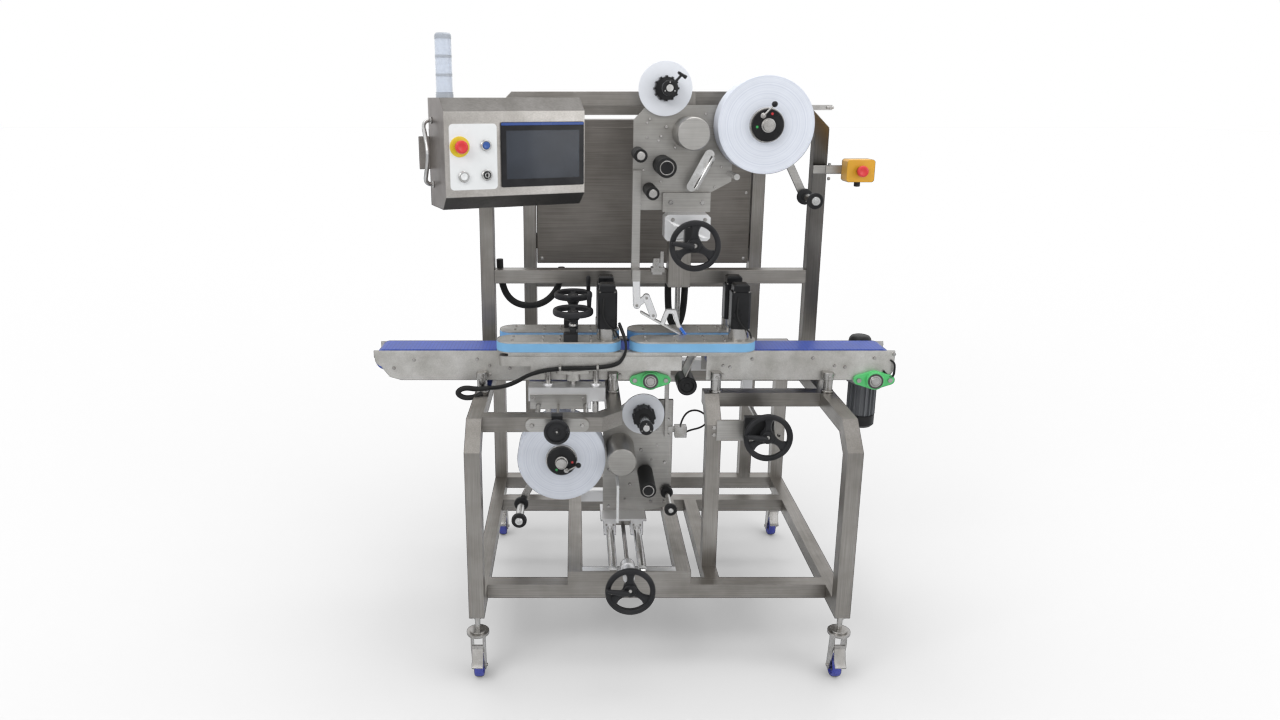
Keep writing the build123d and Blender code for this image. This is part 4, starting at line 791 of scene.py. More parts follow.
def build_guides():
    """Guide rods and adjuster blocks with their bolts."""
    cad_copy("guide_rods", "frame", rod_rule, ["bright_steel", "aluminium"], 1.0)

    def block_rule(low, high):
        return 1 if high.y - low.y > 20 else 0
    cad_copy("adjuster_blocks", "frame", block_rule, ["sheet_steel", "black_plastic"], 1.5)
    bm = bmesh.new()
    for x in (212, 376):
        hex_bolt(bm, at(x, 89, 892.5), FRONTWARD, 7)
    for x in (960, 1054):
        hex_bolt(bm, at(x, 250, 797), FRONTWARD, 6)
    for x in (511, 556):
        for z in (321, 344):
            cap_screw(bm, at(x, 133, z - 12), FRONTWARD, 4)
    new_piece("guide_fasteners", bm, "frame", ["turned_steel"])


def carriage_rule(low, high):
    """Thick blocks are aluminium, and thin plates are sheet."""
    return 0 if (high - low).y > 20 else 1


def build_carriages():
    """The two grip carriages."""
    for side in ("front", "rear"):
        name = side + "_carriage"
        cad_copy(name, name, carriage_rule, ["aluminium", "sheet_steel"], 1.5)
    bm = bmesh.new()
    for x in (208, 380):
        hex_bolt(bm, at(x, 294, 915), FRONTWARD, 6)
    new_piece("front_carriage_bolts", bm, "front_carriage", ["turned_steel"])


def grip_rule(low, high):
    """The drums inside the belts are black, lift rods and motor seats turned, and the rest blasted."""
    size = high - low
    if abs(size.z - 31) < 1:
        return 1
    if size.z > 100 or (abs(size.x - 72) < 2 and size.z > 30):
        return 2
    return 0


def drive_rule(low, high):
    """The lift block is plain black, and the motors are satin."""
    return 1 if high.z < 1160 else 0


def mirror_y(y, side):
    """The same depth on the other side of the bottle path for the rear grip."""
    return y if side == "front" else 2 * PATH_Y - y


def lift_joint(side):
    """Ball joint and black cone between the lift block and its wheel."""
    bm = bmesh.new()
    top = 1212 if side == "front" else 1228
    origin = at(345, mirror_y(346, side), 0)
    turned(bm, [(8.2, 1151), (17, 1151), (15, 1156), (8.2, 1156)], origin, "Z", 40, 0)
    ball = [(8.2, 1155), (11, 1157), (14, 1163), (14, 1166), (11, 1171), (8.2, 1173)]
    cone = [(8.2, 1172), (12, 1174), (19, top - 28), (22, top - 26), (8.2, top - 26)]
    turned(bm, ball, origin, "Z", 40, 1)
    turned(bm, cone, origin, "Z", 40, 0)
    new_piece(side + "_lift_joint", bm, side + "_grip", ["black_plastic", "turned_steel"])


def build_grip(side):
    """One side grip with its motors, belts and screws."""
    body = side + "_grip"
    materials = ["bead_blasted", "black_plastic", "turned_steel"]
    cad_copy(side + "_grip", body, grip_rule, materials, 1.2)
    cad_copy(side + "_grip_drives", body, drive_rule, ["black_satin", "black_plastic"], 2.5)
    lift_joint(side)
    cad_copy(side + "_grip_belts", body, one_material, ["grip_foam"], 2.0)
    bm = bmesh.new()
    for x in (135, 240, 300, 407, 460, 598, 700, 800, 870):
        for offset in (345, 398):
            cap_screw(bm, at(x, mirror_y(offset, side), GRIP_TOP_Z), "Z", 4.5)
    for x in GRIP_MOTORS_X:
        for dy in (-25.2, 25.2):
            for dx in (-25.2, 25.2):
                cap_screw(bm, at(x + dx, mirror_y(373 + dy, side), GRIP_MOTOR_TOP_Z), "Z", 3)
    new_piece(side + "_grip_screws", bm, body, ["turned_steel"])


def build_grips():
    """Both side grips."""
    build_grip("front")
    build_grip("rear")


# Handwheels


FRONT_SEAT = Matrix(((1, 0, 0), (0, 0, -1), (0, 1, 0)))
UP_SEAT = Matrix.Identity(3)


def wheel_handle(bm, seat, place, way, length, thick):
    """A rounded crank handle on its screw."""
    profile = [
        (0, 0), (thick * 0.62, 0), (thick * 0.7, 1.5), (thick * 0.8, length * 0.3),
        (thick, length * 0.7), (thick * 0.95, length * 0.9), (thick * 0.6, length), (0, length),
    ]
    turned(bm, profile, place, seat @ facing(way), 32)


def squared(value):
    """Bends a sine or cosine towards a rounded square."""
    return math.copysign(abs(value) ** 0.7, value)


def wheel_spoke(bm, origin, turn, hub_r, r, w, drop):
    """A waisted spoke from the sunken hub to a rim of radius r and half width w."""
    rows = []
    for step in range(7):
        f = step / 6
        reach = hub_r * 0.7 + (r - 1.4 * w - hub_r * 0.7) * f
        half = w * (2.1 - 0.9 * math.sin(math.pi * min(1.0, f * 1.1)) + 0.8 * max(0.0, f - 0.7))
        height = -drop * 0.35 * math.cos(math.pi * f / 2)
        section = (
            (-half, -0.3 * w), (-half * 0.7, 0.45 * w), (half * 0.7, 0.45 * w),
            (half, -0.3 * w), (0, -0.7 * w),
        )
        rows.append([bm.verts.new(placed(reach, dy, height + dz, turn, origin)) for dy, dz in section])
    for a, b in zip(rows, rows[1:]):
        for k in range(5):
            j = (k + 1) % 5
            bm.faces.new([a[k], a[j], b[j], b[k]])
    bm.faces.new(rows[0])
    bm.faces.new(list(reversed(rows[-1])))


def handwheel(name, origin, seat, d, run, shaft_r, upright, spokes):
    """Moulded handwheel with an oval rim, curved spokes, hub, crank handle and screw."""
    bm = bmesh.new()
    r = d / 2
    w = d * 0.055
    tall = w * (1.35 if upright else 1.0)
    rim = []
    for i in range(20):
        angle = 2 * math.pi * i / 20
        rim.append((r - w + w * squared(math.cos(angle)), tall * squared(math.sin(angle))))
    turned(bm, rim, origin, seat, 96)
    hub_r = d * 0.13
    drop = d * 0.12
    turned(bm, ring_profile(hub_r, shaft_r + 1, -drop - 12, 3, 2), origin, seat, 48)
    turned(bm, ring_profile(hub_r * 1.12, shaft_r + 1, -drop * 0.9, -drop * 0.4, 1), origin, seat, 48)
    if spokes == 4:
        dish = [
            (hub_r * 0.8, -0.3 * w), (hub_r * 1.3, -0.9 * w), (r - 1.4 * w, -0.5 * w),
            (r - 1.2 * w, 0.2 * w), (r - 1.2 * w, -0.9 * w), (hub_r * 0.8, -1.7 * w),
        ]
        turned(bm, dish, origin, seat, 72)
    for i in range(spokes % 4):
        angle = math.radians(90 + i * 360 / spokes)
        wheel_spoke(bm, origin, seat @ Matrix.Rotation(angle, 3, "Z"), hub_r, r, w, drop)
    thick = d * 0.055 + 1
    if upright:
        turn = seat @ Matrix.Rotation(math.radians(25), 3, "Z")
        place = origin + turn @ (Vector((r - w, 0, w - 1)) / 1000.0)
        turned(bm, [(0, -1), (thick * 0.5, -1), (thick * 0.5, 3), (0, 3)], place, turn, 24, 1)
        wheel_handle(bm, turn, place, (0, 0, 1), d * 0.42, thick)
    else:
        turn = seat @ Matrix.Rotation(math.radians(-8), 3, "Z")
        place = origin + turn @ (Vector((-r + w, 0, w + thick - 1)) / 1000.0)
        turned(bm, solid_profile(thick * 0.55, -thick, thick * 0.5, 1), place, turn, 24, 0)
        wheel_handle(bm, turn, place, (1, 0, 0), d * 0.42, thick)
    turned(bm, solid_profile(shaft_r, -drop - 12 - run, 1, 1), origin, seat, 32, 1)
    new_piece(name + "_dressed", bm, name, ["handwheel_black", "turned_steel"], (name,), 0.0, 32)


def build_handwheels():
    """The six handwheels, each on its own body."""
    rows = (
        ("lower_handwheel", (533.5, -12, 352), FRONT_SEAT, 166, 800, 6.5, False, 3),
        ("upper_handwheel", (737, 200, 1462), FRONT_SEAT, 166, 193.08, 8, False, 3),
        ("front_slide_wheel", (294, 30, 892), FRONT_SEAT, 84, 307.92, 4.5, True, 4),
        ("rear_slide_wheel", (1004, 192, 810), FRONT_SEAT, 166, 471.08, 7, False, 3),
        ("front_lift_wheel", (345, 346, 1212), UP_SEAT, 138, 333.44, 8, True, 3),
        ("rear_lift_wheel", (345, 544, 1228), UP_SEAT, 138, 349.44, 8, True, 3),
    )
    for name, place, seat, d, run, shaft_r, upright, spokes in rows:
        handwheel(name, at(*place), seat, d, run, shaft_r, upright, spokes)


# Reels and rollers of the heads


def around(origin, degrees, reach):
    """A point beside a Y axis through origin, in the XZ plane."""
    angle = math.radians(degrees)
    return origin + Vector((math.cos(angle), 0, math.sin(angle))) * reach


def unwind_reel(name, place, button, lever, red, green):
    """Roll of blank label stock on its core, held by a capped hub with a clamp lever."""
    x, z = place
    origin = at(x, 0, z)
    bm = bmesh.new()
    roll = [(38, 388), (158.6, 388), (160, 389.4), (160, 488.6), (158.6, 490), (38, 490)]
    turned(bm, roll, origin, "Y", 128)
    paper = label_stock(name + "_paper", (0.80, 0.83, 0.90), origin)
    new_piece(name + "_stock", bm, name, [paper], (name,))
    bm = bmesh.new()
    turned(bm, ring_profile(57, 37, 373, 387.9, 1.2), origin, "Y", 72, 1)
    turned(bm, ring_profile(38, 12, 373, 494, 1), origin, "Y", 48, 0)
    turned(bm, solid_profile(53, 361, 373.5, 2.5), origin, "Y", 72, 0)
    nose = [
        (0, 339), (16.5, 339), (16.5, 337), (19, 337), (20, 338.5), (20, 352),
        (23, 353), (23, 361.5), (0, 361.5),
    ]
    turned(bm, nose, origin, "Y", 48, 1)
    turned(bm, solid_profile(10, 493, 523, 1), origin, "Y", 32, 1)
    for i in range(6):
        turned(bm, solid_profile(2.6, 359.6, 361.5, 0.5), around(origin, 30 + 60 * i, 0.046), "Y", 16, 0)
    foot = around(origin, button, 0.036)
    turned(bm, solid_profile(9, 352, 361.5, 1.5), foot, "Y", 32, 1)
    turned(bm, solid_profile(5, 348, 353, 1), foot, "Y", 24, 1)
    way = (around(Vector(), lever, 0.046) + Vector((0, -0.006, 0))).normalized()
    turn = facing(way)
    stem_start = foot + Vector((0, 0.350, 0))
    turned(bm, solid_profile(3, 0, 46, 0.5), stem_start, turn, 20, 1)
    ball = []
    for i in range(13):
        a = math.pi * i / 12
        ball.append((10 * math.sin(a), -10 * math.cos(a)))
    turned(bm, ball, stem_start + way * 0.050, turn, 32, 0)
    turned(bm, solid_profile(4.2, 360.2, 361.5, 0.4), around(origin, red, 0.039), "Y", 24, 2)
    turned(bm, solid_profile(4.2, 360.2, 361.5, 0.4), around(origin, green, 0.036), "Y", 24, 3)
    materials = ["black_satin", "turned_steel", "red_plastic", "green_dot"]
    new_piece(name + "_hub", bm, name, materials, (), 0.0, 32)


def clamp_lever(bm, origin, index):
    """Black clamp lever that points away from a rewind hub, with a cross grip at its tip."""
    foot = around(origin, 48, 0.026) + Vector((0, 0.335, 0))
    way = around(Vector(), 48, 1.0)
    turned(bm, [(0, 0), (5, 0), (4, 14), (4.6, 32), (0, 32)], foot, facing(way), 20, index)
    tip = foot + way * 0.030
    across = around(Vector(), -32, 1.0)
    grip = [(0, -15), (3.5, -15), (5, -10), (5, 5), (6.5, 14), (5.5, 18), (0, 18)]
    turned(bm, grip, tip, facing(across), 20, index)


def rewind_reel(name, place, radius, lever=False):
    """White backing disc, splined black core and bright mandrel with its knob."""
    x, z = place
    origin = at(x, 0, z)
    bm = bmesh.new()
    turned(bm, ring_profile(radius, 20, 478, 482, 0.8), origin, "Y", 96, 0)
    turned(bm, solid_profile(38, 430, 478.2, 1.5), origin, "Y", 64, 1)
    for i in range(12):
        turn = Matrix.Rotation(math.radians(i * 30), 3, "Y")
        block(bm, (35, 430, -3.5), (42, 474, 3.5), 1, turn, origin)
    turned(bm, solid_profile(20, 345, 432, 1.5), origin, "Y", 48, 2)
    knob = [(0, 327), (15, 327), (15, 325), (23, 325), (25, 327), (25, 345), (23, 347), (0, 347)]
    turned(bm, knob, origin, "Y", 48, 1)
    turned(bm, [(0, 325.6), (11, 325.6), (12, 326.4), (12, 328), (0, 328)], origin, "Y", 32, 2)
    for i in range(3):
        turned(bm, solid_profile(2, 324.4, 326, 0.3), around(origin, 90 + 120 * i, 0.018), "Y", 12, 2)
    turned(bm, solid_profile(10, 481, 523, 1), origin, "Y", 32, 2)
    if lever:
        clamp_lever(bm, origin, 1)
    materials = ["white_card", "black_plastic", "bright_steel"]
    new_piece(name + "_dressed", bm, name, materials, (name,), 0.0, 32)


def rubber_roller(name, place, radius, knurled=False):
    """Black rubber or knurled roller with a pale ring at its end and its shaft."""
    origin = at(place[0], 0, place[1])
    bm = bmesh.new()
    turned(bm, solid_profile(radius, 334, 504, 1.5), origin, "Y", 72, 0)
    end = radius * 0.72
    if knurled:
        turned(bm, solid_profile(end - 2, 328.5, 334.5, 1.2), origin, "Y", 48, 1)
        turned(bm, solid_profile(4.5, 327, 329, 0.4), origin, "Y", 6, 1)
    else:
        turned(bm, ring_profile(end, end - 3, 330, 334.5, 0.6), origin, "Y", 56, 1)
        turned(bm, solid_profile(end - 3.2, 331.5, 334.5, 0.5), origin, "Y", 48, 2)
    turned(bm, solid_profile(8, 503, 525, 1), origin, "Y", 24, 1)
    if knurled:
        for i in range(36):
            turn = Matrix.Rotation(2 * math.pi * i / 36, 3, "Y")
            block(bm, (radius - 0.6, 337, -0.6), (radius - 0.05, 501, 0.6), 0, turn, origin)
    materials = ["black_rubber", "turned_steel", "black_satin"]
    new_piece(name + "_dressed", bm, name, materials, (name,))


def spool_roller(name, place, flange, core, back, tail):
    """Bright roller between two black flanges, with a screw in its end."""
    origin = at(place[0], 0, place[1])
    bm = bmesh.new()
    turned(bm, solid_profile(core, 331, back, 1), origin, "Y", 40, 1)
    for y in (336, back - 20):
        profile = [
            (core - 1, y), (flange - 3, y), (flange, y + 3),
            (flange, y + 11), (flange - 3, y + 14), (core - 1, y + 14),
        ]
        turned(bm, profile, origin, "Y", 56, 0)
    turned(bm, ring_profile(flange * 0.62, core - 1, 333.5, 336.5, 0.8), origin, "Y", 40, 0)
    screw = [(0, 332), (3, 332), (3, 330), (6.5, 330), (7.5, 331), (7.5, 336), (0, 336)]
    turned(bm, screw, origin, "Y", 24, 1)
    turned(bm, solid_profile(8, back - 1, back + tail - 1, 0.8), origin, "Y", 24, 1)
    new_piece(name + "_dressed", bm, name, ["black_plastic", "bright_steel"], (name,))


def build_lower_reels():
    """Reels, rollers and dancer of the lower head."""
    unwind_reel("lower_unwind_reel", (303, 652), -60, 30, -3, -120)
    rewind_reel("lower_rewind_reel", (604, 792), 78)
    rubber_roller("lower_drive_roller", (616, 552), 29)
    spool_roller("lower_idler", (699, 474), 23, 9, 504, 21)
    spool_roller("lower_dancer_roller", (148, 431), 27, 14, 495.5, 10.5)
    cad_copy("lower_dancer_arm", "lower_dancer_arm", one_material, ["sheet_steel"], 0.8)


def build_upper_reels():
    """Reels, rollers and dancer of the upper head."""
    unwind_reel("upper_unwind_reel", (985, 1835), 121, 48, 72, 188)
    rewind_reel("upper_rewind_reel", (657, 1953), 91, True)
    rubber_roller("upper_drive_roller", (654, 1699), 33)
    rubber_roller("upper_idler_a", (568, 1738), 22, True)
    rubber_roller("upper_idler_b", (610, 1615), 22, True)
    spool_roller("upper_dancer_roller", (1151, 1590), 27, 14, 495.5, 10.5)
    cad_copy("upper_dancer_arm", "upper_dancer_arm", one_material, ["sheet_steel"], 0.8)


# Head plates with their fixed fittings


def cover_can(bm, place, radius):
    """Turned motor cover with an eased rim."""
    can = [(0, 340), (radius - 3, 340), (radius, 343), (radius, 506.8), (0, 506.8)]
    turned(bm, can, at(place[0], 0, place[1]), "Y", 80)


def build_lower_head():
    """Lower head plate with its motor cover, black roller, sensor block and screws."""
    def rule(low, high):
        if high.z < 400 and low.y < 500:
            return 1
        if high.x - low.x < 10 and low.z > 390 and high.z < 545:
            return 2
        return 0

    def skip(low, high):
        size = high - low
        cover = abs(size.x - 104) < 2 and low.y < 345
        roller = abs(size.x - 68) < 2 and abs(size.z - 68) < 2
        return cover or roller
    materials = ["sheet_steel", "aluminium", "white_plastic"]
    cad_copy("lower_head", "lower_head", rule, materials, 1.2, skip)
    bm = bmesh.new()
    cover_can(bm, (520, 656), 52)
    roller = [
        (0, 401), (8, 401), (10, 404), (22, 404), (24, 396.5),
        (31, 395), (34, 398), (34, 492), (31, 495), (0, 495),
    ]
    turned(bm, roller, at(752, 0, 926), "Y", 64, 1)
    new_piece("lower_motor_cover", bm, "lower_head", ["sheet_steel", "black_plastic"])
    bm = bmesh.new()
    bolts = (
        (480, 410), (690, 430), (700, 700), (700, 760), (480, 560),
        (560, 500), (640, 430), (600, 640), (690, 590),
    )
    for x, z in bolts:
        hex_bolt(bm, at(x, HEAD_Y, z), FRONTWARD, 6)
    for x, z in ((520, 480), (540, 440), (660, 660), (660, 720), (640, 600)):
        cap_screw(bm, at(x, HEAD_Y, z), FRONTWARD, 4)
    for x in (470, 496, 571, 597):
        cap_screw(bm, at(x, 430, 370), FRONTWARD, 4)
    block(bm, (722, 468, 704), (764, 500, 744))
    block(bm, (700, 500, 714), (766, 507, 734))
    new_piece("lower_head_screws", bm, "lower_head", ["turned_steel"])


def build_upper_head():
    """Upper head plate with its motor cover, screws, studs and wiper blade."""
    def rule(low, high):
        size = high - low
        if low.z > 1440 and high.z < 1545 and low.x > 640:
            return 1 if size.y > 70 else 2
        if high.x < 585:
            return 0
        if high.z < 1345:
            return 1
        return 3 if low.y < 460 and low.x > 700 else 0

    def skip(low, high):
        size = high - low
        cover = abs(size.x - 108) < 2 and low.y < 345
        sleeve = abs(size.x - 30) < 1.5 and abs(size.z - 30) < 1.5 and low.y < 340
        return cover or sleeve
    materials = ["sheet_steel", "aluminium", "black_plastic", "bright_steel"]
    cad_copy("upper_head", "upper_head", rule, materials, 1.2, skip)
    bm = bmesh.new()
    cover_can(bm, (740, 1808), 54)
    turned(bm, ring_profile(15, 8.1, 330, 400, 1), at(737, 0, 1462), "Y", 40)
    new_piece("upper_motor_cover", bm, "upper_head", ["sheet_steel"])
    bm = bmesh.new()
    for x in (685, 795):
        hex_bolt(bm, at(x, 480, 1570), FRONTWARD, 8)
        hex_bolt(bm, at(x, 400, 1520), FRONTWARD, 6)
    screws = (
        (600, 1840), (800, 1870), (860, 1850), (580, 1560), (860, 1690), (650, 1640),
        (700, 1880), (590, 1680), (640, 1780), (600, 1790), (880, 1740), (840, 1620),
    )
    for x, z in screws:
        cap_screw(bm, at(x, HEAD_Y, z), FRONTWARD, 4.5)
    studs = (
        (647, 1795, 22), (664, 1826, 22), (700, 1782, 16),
        (697, 1757, 16), (608, 1852, 14), (798, 1819, 14),
    )
    for x, z, length in studs:
        turned(bm, solid_profile(5, -length, 0, 1), at(x, HEAD_Y, z), "Y", 24)
    for x, z in ((570, 1214), (604, 1240), (629, 1176)):
        cap_screw(bm, at(x, 435 if x > 600 else 431, z), FRONTWARD, 5)
    new_piece("upper_head_screws", bm, "upper_head", ["turned_steel"])
    bm = bmesh.new()
    start, end = Vector((724, 0, 1134)), Vector((749, 0, 1101))
    along = (end - start).normalized()
    across = Vector((-along.z, 0, along.x)) * 5
    blade = [start - across, end - across, end + across, start + across]
    slab(bm, [(point.x, point.z) for point in blade], 428.6, 461.4)
    new_piece("wiper_blade", bm, "upper_head", ["wiper_blue"], (), 2.0)


# Controls


PANEL_TURN = Matrix.Rotation(PANEL_YAW, 3, "Z")
PANEL_ORIGIN = at(*PANEL_PLACE)
PANEL_FACE = PANEL_TURN @ Matrix(((1, 0, 0), (0, 0, -1), (0, 1, 0)))


def panel_at(x, y, z):
    """A point of the control box's turned frame in the row frame."""
    return PANEL_ORIGIN + PANEL_TURN @ (Vector((x, y, z)) / 1000.0)


def build_control_box():
    """Control box with painted shade on its slopes and sides, and the bow handle."""
    def skip(low, high):
        return 190 < high.z - low.z < 230
    materials = ["panel_steel", "slope_steel", "side_steel"]
    box = cad_copy("control_box", "control_box", one_material, materials, 1.6, skip)
    # Faces turned sideways and the sloped front faces take the darker copies: painted shade picked by face
    # direction
    for face in box.data.polygons:
        local = PANEL_TURN.transposed() @ face.normal
        if abs(local.x) > 0.9:
            face.material_index = 2
        elif local.y < -0.5 and abs(local.z) > 0.5:
            face.material_index = 1
    bow = (
        (-230, 150, 100), (-259, 150, 100), (-260, 110, 50), (-260, 84, 0),
        (-260, 110, -50), (-259, 150, -100), (-230, 150, -100),
    )
    points = [tuple((panel_at(*point) - DATUM) * 1000.0) for point in bow]
    tube_curve("box_handle", points, chosen_mm("handle_radius"), "bright_steel", "control_box")
    bm = bmesh.new()
    side = PANEL_TURN @ Vector((-1, 0, 0))
    for z in (-100, 100):
        turned(bm, solid_profile(11, 0, 4, 1), panel_at(-230, 150, z), facing(side), 32)
    new_piece("handle_feet", bm, "control_box", ["turned_steel"])


def push_button(name, place, colour):
    """Flat lens button in its ring."""
    bm = bmesh.new()
    origin = panel_at(place[0], 0, place[1])
    cap = [(0, 5.2), (11, 5.2), (11, 11.5), (10, 12.6), (8.5, 13), (7.5, 12.4), (0, 12.2)]
    turned(bm, cap, origin, PANEL_FACE, 40)
    new_piece(name + "_dressed", bm, name, [colour], (name,))


def mushroom(name, body, origin, turn, nodes):
    """Red mushroom head with a dished face."""
    bm = bmesh.new()
    turned(bm, solid_profile(8, -2.5, 4.5, 0.6), origin, turn, 32, 1)
    head = [
        (0, 4.3), (12, 4.3), (16, 6.5), (20, 9), (20, 17),
        (18.5, 20.5), (15, 22.6), (12, 23), (10, 22), (0, 21.6),
    ]
    turned(bm, head, origin, turn, 56, 0)
    new_piece(name, bm, body, ["red_plastic", "black_plastic"], nodes)


def build_panel():
    """Button plate, screen, buttons, key switch and stop on the control box."""
    bm = bmesh.new()
    slab(bm, rounded(-215, -64, -107, 92, 12), -2, 0, 0, PANEL_TURN, PANEL_ORIGIN)
    for x, z in (START_BUTTON_PLACE, RESET_BUTTON_PLACE, KEY_SWITCH_PLACE):
        turned(bm, ring_profile(17, 11.3, 2, 11, 1.4), panel_at(x, 0, z), PANEL_FACE, 48, 1)
    stop_x, stop_z = PANEL_STOP_PLACE
    yellow = [(8.4, 2), (31, 2), (31.5, 2.8), (30, 4.5), (8.4, 4.8)]
    turned(bm, yellow, panel_at(stop_x, 0, stop_z), PANEL_FACE, 72, 2)
    turned(bm, ring_profile(16, 8.3, 2, 11, 1), panel_at(stop_x, 0, stop_z), PANEL_FACE, 48, 3)
    slab(bm, rounded(-52, 226, -103, 96, 5), -5, 0, 3, PANEL_TURN, PANEL_ORIGIN)
    slab(bm, rounded(-50.5, 224.5, 86, 94.5, 2), -6, -5, 4, PANEL_TURN, PANEL_ORIGIN)
    slab(bm, rounded(-50.5, 224.5, -101.5, 84, 3), -6, -5, 3, PANEL_TURN, PANEL_ORIGIN)
    materials = ["white_plastic", "bright_steel", "yellow_plastic", "screen_frame", "screen_stripe"]
    new_piece("panel_fittings_dressed", bm, "control_box", materials, ("panel_fittings",), 0.5)
    bm = bmesh.new()
    slab(bm, rounded(-35, 209, -78, 70, 2), -6.0, -5.9, 0, PANEL_TURN, PANEL_ORIGIN)
    new_piece("screen_glass_pane", bm, "control_box", ["screen_glass"])
    push_button("start_button", START_BUTTON_PLACE, "blue_plastic")
    push_button("reset_button", RESET_BUTTON_PLACE, "white_plastic")
    bm = bmesh.new()
    origin = panel_at(KEY_SWITCH_PLACE[0], 0, KEY_SWITCH_PLACE[1])
    turned(bm, solid_profile(11, 3, 13, 1.2), origin, PANEL_FACE, 40, 0)
    turned(bm, ring_profile(8, 5, 12.6, 14, 0.5), origin, PANEL_FACE, 32, 1)
    block(bm, (-1.2, -25, -9), (1.2, -12, 9), 1, PANEL_TURN, origin)
    materials = ["black_plastic", "bright_steel"]
    new_piece("key_switch_dressed", bm, "key_switch", materials, ("key_switch",), 0.6)
    stop_seat = panel_at(stop_x, -11, stop_z)
    mushroom("panel_estop_dressed", "panel_estop", stop_seat, PANEL_FACE, ("panel_estop",))


def build_stack_light():
    """Base, three lens segments with rings, and the cap."""
    bm = bmesh.new()
    origin = panel_at(-200, 90, 169)
    base = [(0, 0), (27, 0), (27, 11), (26, 12), (26, 14), (27, 15), (27, 16), (0, 16)]
    turned(bm, base, origin, "Z", 64, 1)
    for i in range(3):
        low = 16 + 55 * i
        top = low + 47
        segment = [(0, low), (25, low), (25, top), (0, top)]
        ring = [
            (0, top), (25.8, top), (25.8, top + 2), (25, top + 3),
            (25.6, top + 4), (25.6, top + 8), (0, top + 8),
        ]
        turned(bm, segment, origin, "Z", 64, 0)
        turned(bm, ring, origin, "Z", 64, 1)
    turned(bm, [(0, 181), (25, 181), (25, 185), (21, 190), (0, 191)], origin, "Z", 64, 1)
    materials = ["lamp_lens", "lamp_ring"]
    new_piece("stack_light_dressed", bm, "control_box", materials, ("stack_light",), 0.0, 30)


def build_side_stop():
    """Yellow box on its bracket with a second stop button."""
    def rule(low, high):
        size = high - low
        if size.x > 90 and size.y > 60 and size.z > 70 and low.x > 1300:
            return 0
        if abs(size.x - 20) < 1.5 and low.z < 1625 and size.z < 30:
            return 2
        if abs(size.x - 32) < 1.5:
            return 2
        return 1
    cad_copy("side_estop_box", "frame", rule, ["box_yellow", "sheet_steel", "black_plastic"], 2.0)
    turn = FRONTWARD
    mushroom("side_estop_dressed", "side_estop_button", at(1367, 563, 1671), turn, ("side_estop_button",))


def build_cables():
    """Motor cable, leads, sleeve, conduits and clips."""
    bundle = [
        (52, 332, 941), (110, 328, 941), (228, 320, 1016), (490, 320, 1016),
        (528, 320, 1066), (527, 322, 1119), (504.6, 355, 1165),
    ]
    for i, (dy, dz) in enumerate(((-3, 2.6), (3, 3), (0, -3.6))):
        strand = [(x, y + dy, z + dz) for x, y, z in bundle]
        name, nodes = "motor_cable_strand_%d" % i, ("motor_cable",) if i == 0 else ()
        tube_curve(name, strand, chosen_mm("strand_radius"), "black_rubber", "front_grip", nodes)
    for side in ("front", "rear"):
        for x in GRIP_MOTORS_X:
            run = [
                (x - 12, 338, 1262), (x - 15, 334, 1235), (x - 16, 334, 1195),
                (x + 4, 333, 1160), (x + 34, 336, 1142), (x + 40, 350, 1116),
            ]
            run = [(px, mirror_y(py, side), pz) for px, py, pz in run]
            name, radius = "%s_motor_lead_%d" % (side, x), chosen_mm("lead_radius")
            tube_curve(name, run, radius, "black_rubber", side + "_grip")
    tail = [
        (1440, 377, 990), (1454, 371, 972), (1474, 370, 968),
        (1476, 369, 1000), (1473, 371, 1024), (1462, 379, 1028),
    ]
    tube_curve("sensor_lead", tail, 3.2, "black_rubber", "frame")
    sleeve = [
        (52, 332, 941), (14, 322, 938), (-34, 318, 948), (-62, 318, 928),
        (-36, 318, 908), (6, 318, 912), (28, 320, 926),
    ]
    tube_curve("cable_sleeve", sleeve, chosen_mm("sleeve_radius"), "black_rubber", "front_grip")
    lead = [
        (742, 484, 742), (752, 486, 790), (800, 482, 812), (851, 480, 776),
        (825, 474, 742), (770, 472, 730), (762, 474, 722),
    ]
    tube_curve("gap_sensor_lead", lead, 2.6, "black_rubber", "lower_head")
    loop = [
        (66, 712.3, 1330), (66, 712.3, 1230), (120, 712.3, 1150),
        (230, 712.3, 1150), (300, 712.3, 1230), (300, 712.3, 1299),
    ]
    tube_curve("hose_loop", loop, chosen_mm("conduit_radius"), "black_rubber", "frame", ("hoses",))
    conduit = [(703, 675, 1249), (703, 675, 1080), (767, 675, 1080), (767, 675, 1249)]
    tube_curve("conduit_loop", conduit, chosen_mm("conduit_radius"), "black_rubber", "frame")
    bm = bmesh.new()
    for x in (300, 430):
        turned(bm, ring_profile(10, 8.3, -4, 4, 0.5), at(x, 320, 1016), "X", 32)
        block(bm, (x - 4, 318, 1025), (x + 4, 331, 1027))
        cap_screw(bm, at(x, 326, 1027), "Z", 3)
    new_piece("cable_clips", bm, "front_grip", ["turned_steel"], (), 0.6)


# Stage


def stage_camera(scene, cfg):
    """Camera in front of the machine, above the belts and tilted down."""
    data = bpy.data.cameras.new("Camera")
    camera = bpy.data.objects.new("Camera", data)
    scene.collection.objects.link(camera)
    camera.location = at(353, -2660, 1918)
    camera.rotation_euler = (math.radians(90) - cfg.tilt, 0, 0)
    data.lens = cfg.lens
    data.sensor_width = 36.0
    data.shift_x = 0.0505
    data.shift_y = -0.0247
    data.clip_start = 0.05
    data.clip_end = 60.0
    scene.camera = camera


